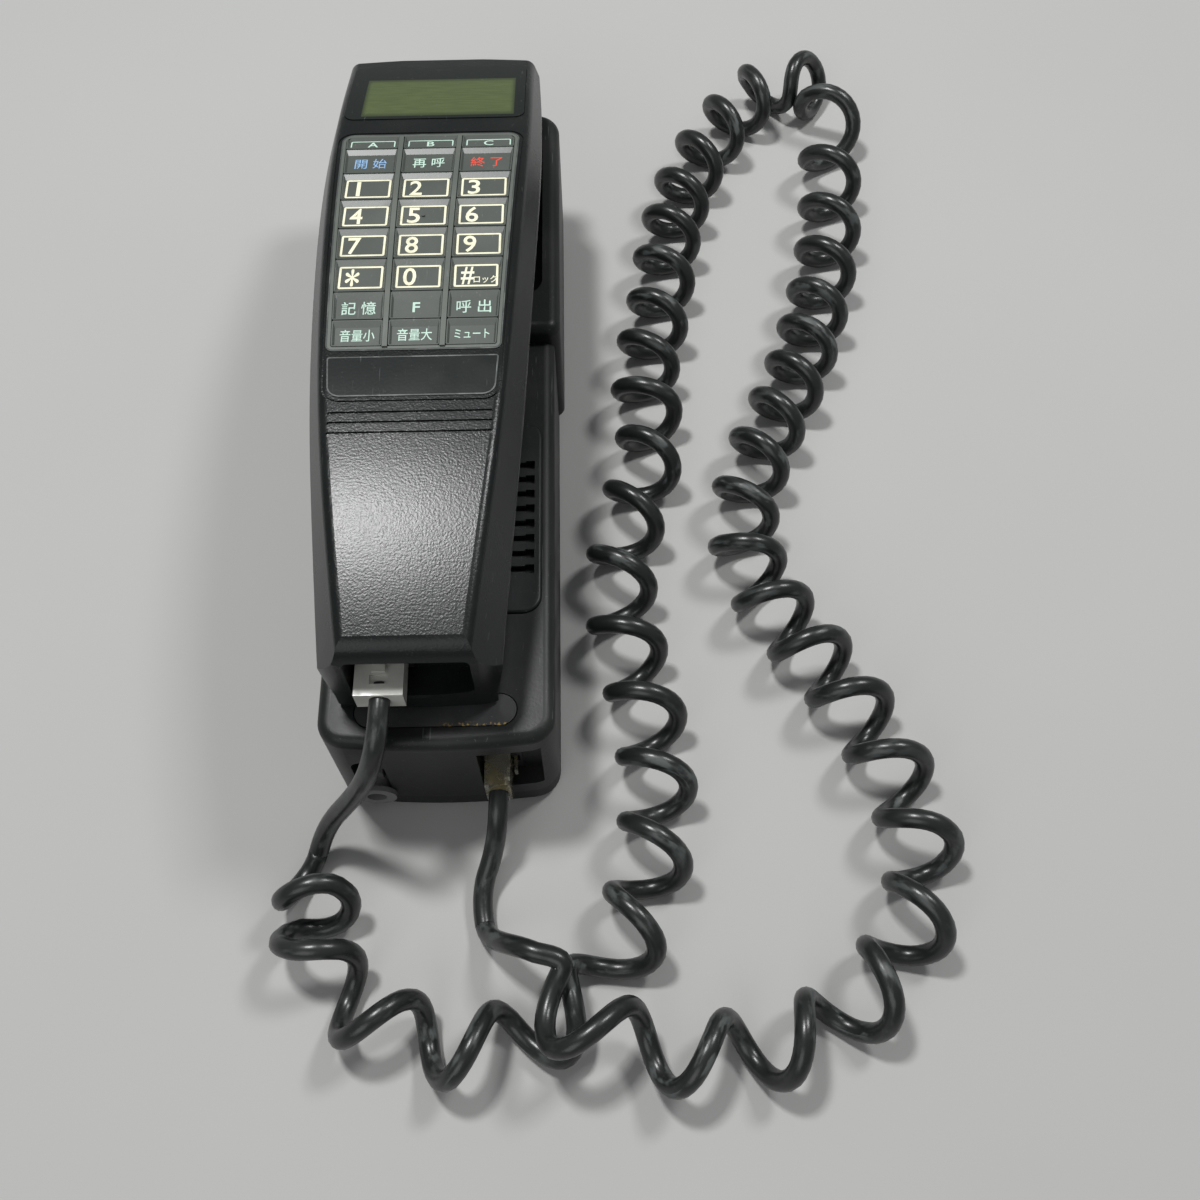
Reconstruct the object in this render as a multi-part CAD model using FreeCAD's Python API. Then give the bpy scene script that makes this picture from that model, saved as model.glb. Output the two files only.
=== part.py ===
"""Telephone handset lying in its cradle, with a long curly cord between the two.

Millimetres, +Z up. The origin is at the middle of the bottom of the cradle and
handset together. +Y runs along the handset towards its display, +X to the right.
"""
import FreeCAD, Part
import math
import os

# Overall arrangement
FRONT_Y = -110.6            # front end of the cradle
HANDSET_FAR_Y = 111.4       # display end of the handset
SEAT_OFFSET = 4.0           # the handset lies this far left of the cradle's middle
RUNNING_GAP = 0.25          # between pieces that slide on each other
SEAT_GAP = 0.1              # between pieces that only rest in each other
WALL = 2.0                  # moulded walls

# Cradle
CRADLE_HALF = 29.5          # half width of the low deck
HOOD_HALF = 31.3            # half width of the raised far part
HANDSET_HALF = 31.0         # half width of the handset where its flanks would meet
FLANK_ROUNDING = 0.13       # lost there to the rounding of the flanks
CRADLE_X = (SEAT_OFFSET + HANDSET_HALF - FLANK_ROUNDING - HOOD_HALF) / 2
HANDSET_X = CRADLE_X - SEAT_OFFSET
CRADLE_FAR_Y = 97.4
BOW_R = 200.0               # the front end bulges in the middle, with this radius
BOW_SLOPE = 0.1             # and falls away with this slope beside it
DECK_Z = 44.0
RAIL_Z = 50.0
STEP_Y = 11.9               # where the deck steps up to the rails
CRADLE_CORNER = 7.0
CRADLE_EDGE = 3.0
HOOD_CORNER = 3.5
BASE_EDGE = 1.5
BASE_Z = 1.2                # underside of the base tray, on its feet
SEAM_Z = 7.8
FOOT_R = 5.0
FOOT_INSET = 11.0
CRADLE_BOARD_HALF = 24.0
CRADLE_BOARD_Y = (-69.6, 72.6)
WELL_Z = 36.0               # floor of the well under the earpiece
WELL_NEAR_Y = 24.9
WELL_FAR_Y = 91.4
WELL_CORNER_NEAR = 5.5
WELL_CORNER_FAR = 3.0
LEFT_RAIL = 2.2
RIGHT_RAIL = 5.0
INSERT_X = 18.0             # threaded inserts in the base
INSERT_Y = 50.0
INSERT_R = 2.0
INSERT_OUTER_R = 3.2
INSERT_LENGTH = 6.0
BASE_SCREW_X = 22.0
BASE_SCREW_Y = 76.5
BASE_SCREW_R = 1.5
BASE_SCREW_HEAD_R = 2.8
BASE_SCREW_HEAD = 1.8
BASE_SCREW_LENGTH = 18.0
BOSS_WALL = 1.9

# Cradle deck
GRILLE_HALF = 26.1
GRILLE_NEAR_Y = -74.6
GRILLE_FAR_Y = -16.1
GRILLE_PROUD = 0.9
GRILLE_SEAT = 1.3
GRILLE_CORNER = 5.0
SLOT_COUNT = 8
SLOT_PITCH = 4.57
SLOT_WIDTH = 1.7
SLOT_FIRST_Y = -62.1
SLOT_HALF = 24.2
NOTCH_LENGTH = 2.4
NOTCH_WIDTH = 2.6
COVER_LENGTH = 40.0
COVER_WIDTH = 8.2
COVER_Y = -101.0
COVER_DEPTH = 1.2
COVER_GAP = 0.3
SPEAKER_R = 20.0
SPEAKER_DEPTH = 15.0
SPEAKER_RIM = 2.5
BOARD_THICK = 1.6
CRADLE_BOARD_Z = 10.2

# Sockets, plugs and openings
PLUG_WIDTH = 11.7
PLUG_THICK = 6.6
PLUG_LENGTH = 21.5
PLUG_GAP = 0.2
PLUG_WAYS = 8
CONTACT_PITCH = 1.02
PLUG_MOUTH = 4.0            # how deep the cord enters a plug
PLUG_STANDOFF = 3.5         # how far the cradle's plug stands out of its end
PLUG_STANDOFF_HANDSET = 2.5
LATCH_WIDTH = 3.2
LATCH_TIP = 5.5
SOCKET_WALL = 1.4
SOCKET_DEPTH = 17.0
CRADLE_PLUG_X = 14.0        # from the cradle's middle, plug on its edge
CRADLE_PLUG_Z = 19.9
POCKET_LEFT = 9.6
POCKET_RIGHT = 25.6
POCKET_LOW = 13.4
POCKET_HIGH = 37.0
POCKET_DEPTH = 6.0
CABLE_HOLE_X = -18.9
CABLE_HOLE_HALF = 4.3
CABLE_HOLE_LOW = 10.0
CABLE_HOLE_HIGH = 31.5
CABLE_HOLE_DEPTH = 12.0
CABLE_R = 2.6
GLAND_R = 3.8
GLAND_FLANGE = 1.4
GLAND_Z = 11.2

# Hook switch
HOOK_Y = 68.4
HOOK_HALF = 4.0
HOOK_LENGTH = 12.0
HOOK_COLLAR = 1.2
HOOK_SWITCH = (12.0, 9.6)

# Handset form
ARCH_R = 370.0              # the face is an arch of this radius along the handset
ARCH_TOP_Y = -19.6
HANDSET_NEAR_Y = -101.6
REST_GAP = 0.3              # under the resting handset
TAIL_GAP = 0.8              # between the rails and the handset's end
TAIL_SLOPE = 6.2
MOUTH_Z = DECK_Z + GRILLE_PROUD + REST_GAP      # underside of the mouthpiece
EAR_Z = WELL_Z + REST_GAP                       # underside of the earpiece
TAIL_Z = RAIL_Z + TAIL_GAP                      # underside beyond the earpiece
HANDSET_DEPTH = 37.8        # from the mouthpiece's underside to the arch's top
ARCH_TOP_Z = MOUTH_Z + HANDSET_DEPTH
GRIP_DEPTH = 25.5
GRIP_Z = ARCH_TOP_Z - GRIP_DEPTH                # underside of the grip
EAR_HALF = 24.0
GRIP_NEAR_Y = -37.6
GRIP_SLOPE = 16.0           # length of the sloping side of the mouthpiece
EAR_NEAR_Y = 32.4
EAR_SLOPE = 7.0             # length of the sloping side of the earpiece towards the grip
# y, half width of the face, half width and drop of the flanks, half width and height low down
STATIONS = (
    (-109.6, 13.4, 20.9, 12.5, 19.0, RAIL_Z),
    (-95.6, 15.2, 22.2, 12.5, 20.0, RAIL_Z),
    (-67.6, 18.8, 24.4, 12.0, 21.8, RAIL_Z),
    (-42.6, 21.6, 26.4, 11.0, 23.0, RAIL_Z),
    (-17.6, 23.6, 28.0, 10.0, 23.7, RAIL_Z),
    (12.4, 25.3, 29.5, 9.5, EAR_HALF, RAIL_Z),
    (42.4, 26.7, 30.7, 9.5, EAR_HALF, RAIL_Z),
    (77.4, 27.5, HANDSET_HALF, 9.5, EAR_HALF, RAIL_Z),
    (116.4, 27.5, HANDSET_HALF - 0.4, 6.0, EAR_HALF, RAIL_Z),
)
PLAN_NEAR_HALF = 23.2       # half width where the near end's corners are rounded
PLAN_WIDEST_Y = 40.0
NEAR_LEAN = 1.6             # how far the near end leans back at the face
FACE_CLEAR = 0.1            # the side outline stays this far off the arch
FACE_EDGE = 3.0             # rounding between face and flank
FLANK_EDGE = 3.0
PART_DROP_NEAR = 14.5       # depth of the parting line under the face
PART_DROP_MID = 17.5
PART_DROP_FAR = 6.4

# Face of the handset, measured along the arch from its top
PAD_LOW = -0.5
ROW_LENGTHS = (9.3, 9.3, 11.6, 11.6, 11.6, 11.6, 11.6, 7.1)
COLUMNS = 3
PAD_HALF_LOW = 21.5
PAD_HALF_HIGH = 24.7
PAD_CORNER = 3.0
PAD_BORDER = 0.8
STRIP_WIDTH = 1.3
STRIP_PROUD = 0.9
BORDER_PROUD = 0.3
KEY_GAP = 0.15
KEY_TRAVEL = 0.8
KEY_RIM = 0.4
KEY_FLOOR = -0.4
KEY_UNDER = -2.4
KEY_CORNER = 0.5
KEY_DOT_R = 0.45
RIM_LAND = 0.3
SLOPE_FAR = 1.5
SLOPE_NEAR = 0.6
SLOPE_SIDE = 0.45
MAT_TOP = KEY_UNDER - KEY_TRAVEL - REST_GAP
MAT_THICK = 0.9
MAT_FLANGE = 1.6            # beyond the rim, under the shell
SHEET_THICK = 0.8
LENS_LOW = 92.5
LENS_HIGH = 126.5
LENS_HALF = 26.0
LENS_THICK = 1.3
LENS_PROUD = 0.2
LENS_CORNER = 3.0
LCD_LOW = 95.4
LCD_HIGH = 118.0
LCD_HALF = 22.2
LCD_MARGIN = 2.4
LCD_THICK = 3.2
BADGE_HIGH = -3.0
BADGE_LOW = -14.3
BADGE_HALF_HIGH = 21.1
BADGE_HALF_LOW = 20.3
BADGE_THICK = 0.8
BADGE_PROUD = 0.15
FRAME_MARGIN = 1.3
FRAME_WIDTH = 0.45
FRAME_DEPTH = 0.4
GROOVES = (-19.3, -22.1, -25.0)
GROOVE_HALF = 20.1
GROOVE_WIDTH = 1.1
GROOVE_DEPTH = 0.5

# End recess of the handset and what the handset holds
RECESS_HALF = 14.8
RECESS_FLOOR = 8.8          # between the recess and the mouthpiece's underside
RECESS_ROOF = 13.0          # between the recess and the arch's top
RECESS_LOW = MOUTH_Z + RECESS_FLOOR
RECESS_HIGH = ARCH_TOP_Z - RECESS_ROOF
RECESS_DEPTH = 8.0
HANDSET_PLUG_X = -7.35      # from the handset's middle
PLUG_RISE = 4.0             # middle of the plug over the recess's floor
HANDSET_PLUG_Z = RECESS_LOW + PLUG_RISE
BOARD_DROP = 21.0
HANDSET_BOARD_Z = ARCH_TOP_Z - BOARD_DROP
HANDSET_BOARD_HALF = 20.0
HANDSET_BOARD_Y = (-52.6, 64.4)
BOARD_POSTS_X = 14.0
BOARD_POSTS_Y = (-27.6, 14.4)
EARPIECE_Y = 58.4
EARPIECE_R = 15.0
EARPIECE_DEPTH = 9.0
MOUTHPIECE_Y = -79.6
MOUTHPIECE_R = 5.0
MOUTHPIECE_DEPTH = 4.5
SOUND_HOLE_R = 1.0
SCREW_R = 1.2
SCREW_HEAD_R = 2.4
SCREW_HEAD = 1.8
SCREW_SINK = 0.3            # heads lie this far inside the shell
SCREW_LENGTHS = (26.0, 7.5)
POST_WALL = 0.6
HANDSET_SCREWS = ((13.0, -60.1), (14.0, 102.4))

# Key names, from the near row to the far row, left to right
KEY_NAMES = (
    ("volume_down", "volume_up", "mute"),
    ("store", "function", "recall"),
    ("star", "0", "hash"),
    ("7", "8", "9"),
    ("4", "5", "6"),
    ("1", "2", "3"),
    ("send", "redial", "end"),
    ("a", "b", "c"),
)

# Cord
CORD_R = 2.6
CORD_FLOOR = 0.25           # free space under the cord
CURL_R = 8.2                # middle of the wire about the middle of a curl
CURL_STEPS = 4              # joints between arcs in each curl
ARC_SHARE = 0.45            # of the shorter run beside a corner of a route
LEAD_RUN = 8.0

# Route of the curls: x, y, rise, share of their height, curls so far
CURL_ROUTE = (
    (-37.5, -128.1, 0, 1.0, 0.12), (-33.0, -134.1, 0, 1.0, 0.5), (-29.5, -140.6, 0, 1.0, 1.05),
    (-32.5, -150.6, 0, 1.0, 1.6), (-20.5, -166.1, 0, 1.0, 2.4), (4.0, -177.1, 0, 1.0, 3.5),
    (30.0, -172.1, 0, 0.45, 4.5), (49.5, -150.6, 0, 0.85, 5.5), (58.0, -120.6, 0, 1.0, 7.0),
    (56.0, -89.6, 0, 1.0, 8.6), (48.0, -59.6, 0, 1.0, 10.1), (50.0, -33.6, 0, 1.0, 11.3),
    (60.5, -1.6, 0, 1.0, 12.9), (57.0, 22.4, 0, 1.0, 14.2), (64.0, 51.4, 0, 1.0, 15.9),
    (67.0, 76.4, 0, 1.0, 17.3), (74.5, 106.4, 0, 1.0, 19.2), (91.5, 137.4, 0, 1.0, 21.1),
    (112.0, 156.9, 0, 1.0, 22.55), (128.0, 145.4, 0, 1.0, 23.55), (124.5, 114.4, 0, 1.0, 24.5),
    (122.0, 84.4, 0, 1.0, 25.9), (116.0, 55.4, 0, 1.0, 27.5), (105.5, 22.4, 0, 1.0, 29.7),
    (91.0, -5.6, 0, 1.0, 31.75), (83.0, -34.6, 0, 1.0, 33.4), (92.0, -57.6, 0, 1.0, 34.8),
    (108.5, -80.6, 0, 1.0, 36.45), (122.0, -108.6, 0, 1.0, 38.0), (127.0, -135.6, 0, 1.0, 39.35),
    (113.5, -161.6, 0, 1.0, 40.65), (92.0, -175.6, 0, 1.0, 41.65), (68.0, -179.1, 0, 1.0, 42.7),
    (44.0, -176.1, 7, 0.9, 43.6), (27.5, -167.1, 13, 0.8, 44.25), (22.0, -155.6, 9, 0.5, 44.7),
    (19.5, -142.6, 0, 0.0, 45.0),
)
# Leads from the plugs, up to where they run straight into the curls
HANDSET_LEAD = (
    (-9.565, -100.1, 58.0), (-9.565, -111.5, 58.0), (-13.0, -118.0, 47.0), (-19.0, -118.3, 32.0),
)
CRADLE_LEAD = (
    (14.2, -125.6, 9.0), (15.785, -118.6, 19.9), (15.785, -110.1, 19.9),
)

ARCH_CENTRE_Z = ARCH_TOP_Z - ARCH_R
PAD_HIGH = PAD_LOW + sum(ROW_LENGTHS)
FAR = 400.0                 # beyond everything
CUT_LOW = ARCH_TOP_Z - 43.0                     # below and above the face
CUT_HIGH = ARCH_TOP_Z + 37.0
BAND_HALF = 40.0            # beyond the handset's sides
SPAN = 60.0                 # well beyond them
SECTION_LOW = WELL_Z - 16.0                     # below the handset


def vec(x, y, z):
    return FreeCAD.Vector(x, y, z)


def outline(points, radii):
    """Closed wire through points, each corner rounded by its radius."""
    corners = []
    count = len(points)
    for index in range(count):
        corner = points[index]
        radius = radii[index]
        if radius <= 0:
            corners.append((corner, None, corner))
            continue
        back = (points[index - 1] - corner).normalize()
        ahead = (points[(index + 1) % count] - corner).normalize()
        half = back.getAngle(ahead) / 2
        start = corner + back * (radius / math.tan(half))
        end = corner + ahead * (radius / math.tan(half))
        inward = (back + ahead).normalize()
        middle = corner + inward * (radius / math.sin(half) - radius)
        corners.append((start, middle, end))
    edges = []
    for index in range(count):
        start, middle, end = corners[index]
        if middle is not None:
            edges.append(Part.Arc(start, middle, end).toShape())
        following = corners[(index + 1) % count][0]
        if (following - end).Length > 1e-6:
            edges.append(Part.LineSegment(end, following).toShape())
    return Part.Wire(edges)


def plan_prism(points, radii, low, high):
    wire = outline([vec(x, y, low) for x, y in points], radii)
    return Part.Face(wire).extrude(vec(0, 0, high - low))


def side_prism(points, radii, left, right):
    wire = outline([vec(left, y, z) for y, z in points], radii)
    return Part.Face(wire).extrude(vec(right - left, 0, 0))


def box(left, right, near, far, low, high):
    return Part.makeBox(right - left, far - near, high - low, vec(left, near, low))


def rounded_box(left, right, near, far, low, high, radius):
    points = ((left, near), (right, near), (right, far), (left, far))
    return plan_prism(points, (radius,) * 4, low, high)


def post(x, y, low, high, radius):
    return Part.makeCylinder(radius, high - low, vec(x, y, low))


def inset_points(points, inset):
    """Anticlockwise outline moved inwards by inset, edge by edge."""
    moved = []
    count = len(points)
    for index in range(count):
        ax, ay = points[index - 1]
        bx, by = points[index]
        cx, cy = points[(index + 1) % count]
        first = math.hypot(bx - ax, by - ay)
        second = math.hypot(cx - bx, cy - by)
        n1 = (-(by - ay) / first, (bx - ax) / first)
        n2 = (-(cy - by) / second, (cx - bx) / second)
        scale = inset / (1 + n1[0] * n2[0] + n1[1] * n2[1])
        moved.append((bx + (n1[0] + n2[0]) * scale, by + (n1[1] + n2[1]) * scale))
    return moved


def one_solid(shape):
    """The shape without seams between faces of one surface."""
    tidy = shape.removeSplitter()
    return tidy.Solids[0] if len(tidy.Solids) == 1 else tidy


def arch_height(y, drop=0.0):
    return ARCH_CENTRE_Z + math.sqrt((ARCH_R - drop) ** 2 - (y - ARCH_TOP_Y) ** 2)


def arch_y(along, rise=0.0):
    return ARCH_TOP_Y + (ARCH_R + rise) * math.sin(along / ARCH_R)


def on_face(shape, along):
    """Move a shape modelled flat, face at z = 0, to its place along the arch."""
    angle = along / ARCH_R
    placed = shape.copy()
    placed.rotate(vec(0, 0, 0), vec(1, 0, 0), -math.degrees(angle))
    placed.translate(vec(0, arch_y(along), ARCH_CENTRE_Z + ARCH_R * math.cos(angle)))
    return placed


def arch_band(low, high, near, far, half):
    """Block between two offsets of the arch, from along = near to along = far."""
    def point(along, rise):
        angle = along / ARCH_R
        return vec(-half, ARCH_TOP_Y + (ARCH_R + rise) * math.sin(angle),
                   ARCH_CENTRE_Z + (ARCH_R + rise) * math.cos(angle))
    middle = (near + far) / 2
    edges = [
        Part.Arc(point(near, high), point(middle, high), point(far, high)).toShape(),
        Part.LineSegment(point(far, high), point(far, low)).toShape(),
        Part.Arc(point(far, low), point(middle, low), point(near, low)).toShape(),
        Part.LineSegment(point(near, low), point(near, high)).toShape(),
    ]
    return Part.Face(Part.Wire(edges)).extrude(vec(2 * half, 0, 0))


def in_handset(shape):
    """Handset pieces are modelled about x = 0 and moved to where the handset lies."""
    moved = shape.copy()
    moved.translate(vec(HANDSET_X, 0, 0))
    return moved


def in_cradle(shape):
    moved = shape.copy()
    moved.translate(vec(CRADLE_X, 0, 0))
    return moved


def handset_section(station, inset):
    y, face, flank, drop, low, flare = station
    top = arch_height(y) - inset
    waist = arch_height(y) - drop
    face = face - inset
    flank = flank - inset
    low = low - inset
    points = (
        vec(-face, y, top), vec(face, y, top),
        vec(flank, y, waist), vec(low, y, flare), vec(low - 0.4, y, SECTION_LOW),
        vec(-low + 0.4, y, SECTION_LOW), vec(-low, y, flare), vec(-flank, y, waist),
    )
    edge = max(FACE_EDGE - inset, 1.0)
    flank_edge = max(FLANK_EDGE - inset, 1.5)
    radii = (edge, edge, flank_edge, 0, 0, 0, 0, flank_edge)
    return outline(points, radii)


def handset_side():
    """Side outline of the handset, in y and z, anticlockwise."""
    def tangent(y):
        slope = -(y - ARCH_TOP_Y) / math.sqrt(ARCH_R ** 2 - (y - ARCH_TOP_Y) ** 2)
        return slope, arch_height(y) + FACE_CLEAR - slope * y
    near_slope, near_level = tangent(HANDSET_NEAR_Y + 12.0)
    far_slope, far_level = tangent(HANDSET_FAR_Y - 5.0)
    peak_y = (far_level - near_level) / (near_slope - far_slope)
    lip_y = HANDSET_NEAR_Y + NEAR_LEAN
    return [
        (HANDSET_NEAR_Y, MOUTH_Z),
        (GRIP_NEAR_Y - GRIP_SLOPE, MOUTH_Z),
        (GRIP_NEAR_Y, GRIP_Z),
        (EAR_NEAR_Y - EAR_SLOPE, GRIP_Z),
        (EAR_NEAR_Y, EAR_Z),
        (WELL_FAR_Y - TAIL_GAP - TAIL_SLOPE, EAR_Z),
        (WELL_FAR_Y - TAIL_GAP, TAIL_Z),
        (HANDSET_FAR_Y, TAIL_Z),
        (HANDSET_FAR_Y, far_slope * HANDSET_FAR_Y + far_level),
        (peak_y, near_slope * peak_y + near_level),
        (lip_y, near_slope * lip_y + near_level),
    ]


SIDE_RADII = (3.0, 8.0, 10.0, 4.0, 3.0, 3.0, 3.0, 1.5, 3.0, 0, 8.0)
SIDE_HOLLOWS = (2, 3, 6)


def handset_plan():
    near = HANDSET_NEAR_Y
    far = HANDSET_FAR_Y
    return [
        (0.0, near - 0.2), (PLAN_NEAR_HALF, near + 2.2), (HANDSET_HALF + 1.8, PLAN_WIDEST_Y),
        (HANDSET_HALF + 1.5, far - 3.6), (0.0, far + 0.4),
        (-HANDSET_HALF - 1.5, far - 3.6), (-HANDSET_HALF - 1.8, PLAN_WIDEST_Y),
        (-PLAN_NEAR_HALF, near + 2.2),
    ]


PLAN_RADII = (110.0, 8.0, 30.0, 8.0, 150.0, 8.0, 30.0, 8.0)


def handset_form(inset):
    """The whole handset as one body, inset from its outer surface."""
    body = Part.makeLoft([handset_section(s, inset) for s in STATIONS], True, False)
    radii = []
    for index, radius in enumerate(SIDE_RADII):
        change = inset if index in SIDE_HOLLOWS else -inset
        radii.append(max(radius + change, 0.6) if radius else 0)
    side = side_prism(inset_points(handset_side(), inset), radii, -SPAN, SPAN)
    plan = plan_prism(inset_points(handset_plan(), inset), PLAN_RADII, 0.0, CUT_HIGH)
    return body.common(side).common(plan)


def above_parting():
    """Everything over the handset's parting surface, an arch a little under its face."""
    near = HANDSET_NEAR_Y - 10.0
    far = HANDSET_FAR_Y + 10.0
    start = vec(-SPAN, near, arch_height(HANDSET_NEAR_Y) - PART_DROP_NEAR)
    middle = vec(-SPAN, ARCH_TOP_Y, ARCH_TOP_Z - PART_DROP_MID)
    end = vec(-SPAN, far, arch_height(HANDSET_FAR_Y) - PART_DROP_FAR - 1.0)
    edges = [
        Part.Arc(start, middle, end).toShape(),
        Part.LineSegment(end, vec(-SPAN, far, FAR)).toShape(),
        Part.LineSegment(vec(-SPAN, far, FAR), vec(-SPAN, near, FAR)).toShape(),
        Part.LineSegment(vec(-SPAN, near, FAR), start).toShape(),
    ]
    return Part.Face(Part.Wire(edges)).extrude(vec(2 * SPAN, 0, 0))


def pad_half(along):
    share = (along - PAD_LOW) / (PAD_HIGH - PAD_LOW)
    return PAD_HALF_LOW + (PAD_HALF_HIGH - PAD_HALF_LOW) * share


def pad_prism(grow, low=CUT_LOW, high=CUT_HIGH):
    """Upright prism over the keypad's outline, grown by a margin all round."""
    near = PAD_LOW - grow
    far = PAD_HIGH + grow
    half_near = pad_half(near) + grow
    half_far = pad_half(far) + grow
    points = [(-half_near, arch_y(near)), (half_near, arch_y(near)),
              (half_far, arch_y(far)), (-half_far, arch_y(far))]
    edge = max(PAD_CORNER + grow, 0.5)
    small = max(PAD_CORNER / 2 + grow, 0.5)
    return plan_prism(points, (small, small, edge, edge), low, high)


def frame_prism(grow):
    """Upright prism over the line that frames keypad and badge together."""
    near = BADGE_LOW - grow
    far = PAD_HIGH + grow
    half_near = BADGE_HALF_LOW + grow
    half_far = PAD_HALF_HIGH + grow
    points = [(-half_near, arch_y(near)), (half_near, arch_y(near)),
              (half_far, arch_y(far)), (-half_far, arch_y(far))]
    edge = PAD_CORNER + grow
    return plan_prism(points, (edge,) * 4, CUT_LOW, CUT_HIGH)


def badge_prism(grow):
    points = [(-BADGE_HALF_LOW - grow, arch_y(BADGE_LOW - grow)),
              (BADGE_HALF_LOW + grow, arch_y(BADGE_LOW - grow)),
              (BADGE_HALF_HIGH + grow, arch_y(BADGE_HIGH + grow)),
              (-BADGE_HALF_HIGH - grow, arch_y(BADGE_HIGH + grow))]
    return plan_prism(points, (PAD_CORNER, PAD_CORNER, 0.6, 0.6), CUT_LOW, CUT_HIGH)


def lens_prism(grow):
    near = arch_y(LENS_LOW - grow)
    far = arch_y(LENS_HIGH + grow)
    half = LENS_HALF + grow
    return rounded_box(-half, half, near, far, CUT_LOW, CUT_HIGH, LENS_CORNER)


def recess_box(grow):
    return rounded_recess(RECESS_HALF + grow, RECESS_LOW - grow, RECESS_HIGH + grow,
                          HANDSET_NEAR_Y - 10.0, HANDSET_NEAR_Y + RECESS_DEPTH + grow)


def rounded_recess(half, low, high, near, far):
    points = [vec(-half, near, low), vec(half, near, low),
              vec(half, near, high), vec(-half, near, high)]
    wire = outline(points, (1.5,) * 4)
    return Part.Face(wire).extrude(vec(0, far - near, 0))


def handset_socket_block(grow):
    """Outside of the handset's socket, behind the end recess."""
    moved = jack_block(PLUG_STANDOFF_HANDSET + RECESS_DEPTH, grow)
    moved.translate(vec(HANDSET_PLUG_X, HANDSET_NEAR_Y - PLUG_STANDOFF_HANDSET, HANDSET_PLUG_Z))
    return moved


def screw_posts(low, high, radius, at_rear):
    x, y = HANDSET_SCREWS[at_rear]
    return [post(side * x, y, low, high, radius) for side in (-1, 1)]


def screw_floor(at_rear):
    return TAIL_Z if at_rear else MOUTH_Z


def handset_top_shell(outer, inner, middle, upper):
    shell = outer.cut(inner).common(upper)
    inside = middle.common(upper)
    rim = handset_pad_lip(inside)
    shell = shell.fuse(rim)
    pocket = recess_box(SOCKET_WALL).common(inside)
    shell = shell.fuse(pocket).cut(recess_box(0.0))
    for at_rear in (0, 1):
        for column in screw_posts(CUT_LOW, CUT_HIGH, SCREW_HEAD_R + POST_WALL, at_rear):
            shell = shell.fuse(column.common(inside))
        low = screw_floor(at_rear)
        for hole in screw_posts(low, low + SCREW_LENGTHS[at_rear] + 0.5, SCREW_R + 0.1, at_rear):
            shell = shell.cut(hole)
    shell = shell.cut(pad_prism(SEAT_GAP))
    shell = shell.cut(badge_prism(SEAT_GAP).common(
        arch_band(-BADGE_THICK + BADGE_PROUD, 8.0, BADGE_LOW - 3.0, BADGE_HIGH + 3.0, BAND_HALF)))
    shell = shell.cut(lens_prism(SEAT_GAP).common(
        arch_band(-LENS_THICK + LENS_PROUD - 0.02, 8.0, LENS_LOW - 3.0, LENS_HIGH + 3.0, BAND_HALF)))
    shell = shell.cut(rounded_box(-LCD_HALF - 0.8, LCD_HALF + 0.8, arch_y(LCD_LOW - 0.8),
                                  arch_y(LCD_HIGH + 0.8), CUT_LOW, CUT_HIGH, 1.0))
    line = frame_prism(FRAME_MARGIN + FRAME_WIDTH).cut(frame_prism(FRAME_MARGIN))
    shell = shell.cut(line.common(
        arch_band(-FRAME_DEPTH, 8.0, BADGE_LOW - 6.0, PAD_HIGH + 6.0, BAND_HALF)))
    for along in GROOVES:
        shell = shell.cut(on_face(groove_bar(), along))
    shell = shell.cut(handset_socket_block(SEAT_GAP))
    return one_solid(shell)


def handset_pad_lip(inside):
    """Skirt under the face that the keypad mat is held by."""
    skirt = pad_prism(WALL).cut(pad_prism(SEAT_GAP))
    depth = arch_band(MAT_TOP + SEAT_GAP, -WALL / 2, PAD_LOW - 4.0, PAD_HIGH + 4.0, BAND_HALF)
    return skirt.common(depth).common(inside)


def groove_bar():
    half = GROOVE_HALF - GROOVE_WIDTH / 2
    bar = box(-half, half, -GROOVE_WIDTH / 2, GROOVE_WIDTH / 2, -GROOVE_DEPTH, 3.0)
    for side in (-1, 1):
        bar = bar.fuse(post(side * half, 0.0, -GROOVE_DEPTH, 3.0, GROOVE_WIDTH / 2))
    return bar.removeSplitter()


def handset_bottom_shell(outer, inner, middle, upper):
    shell = outer.cut(inner).cut(upper)
    inside = middle.cut(upper)
    pocket = recess_box(SOCKET_WALL).common(inside)
    shell = shell.fuse(pocket).cut(recess_box(0.0))
    for at_rear in (0, 1):
        for column in screw_posts(CUT_LOW, CUT_HIGH, SCREW_HEAD_R + POST_WALL, at_rear):
            shell = shell.fuse(column.common(inside))
    for x in (-1, 1):
        for y in BOARD_POSTS_Y:
            column = post(x * BOARD_POSTS_X, y, GRIP_Z + WALL / 2, HANDSET_BOARD_Z, 2.0)
            shell = shell.fuse(column)
    for at_rear in (0, 1):
        low = screw_floor(at_rear)
        for hole in screw_posts(low - 5.0, low + 60.0, SCREW_R + 0.1, at_rear):
            shell = shell.cut(hole)
        top = low + SCREW_SINK + SCREW_HEAD + SEAT_GAP
        for hole in screw_posts(low - 5.0, top, SCREW_HEAD_R + 2 * SEAT_GAP, at_rear):
            shell = shell.cut(hole)
    for x, y in sound_holes(4.2, (1, 6, 12)):
        shell = shell.cut(post(x, EARPIECE_Y + y, EAR_Z - 2.0, EAR_Z + WALL + 1.0, SOUND_HOLE_R))
    for x, y in sound_holes(3.2, (1, 6)):
        shell = shell.cut(post(x, MOUTHPIECE_Y + y, MOUTH_Z - 2.0, MOUTH_Z + WALL + 1.0,
                               SOUND_HOLE_R))
    shell = shell.cut(handset_socket_block(SEAT_GAP))
    return one_solid(shell)


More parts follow.
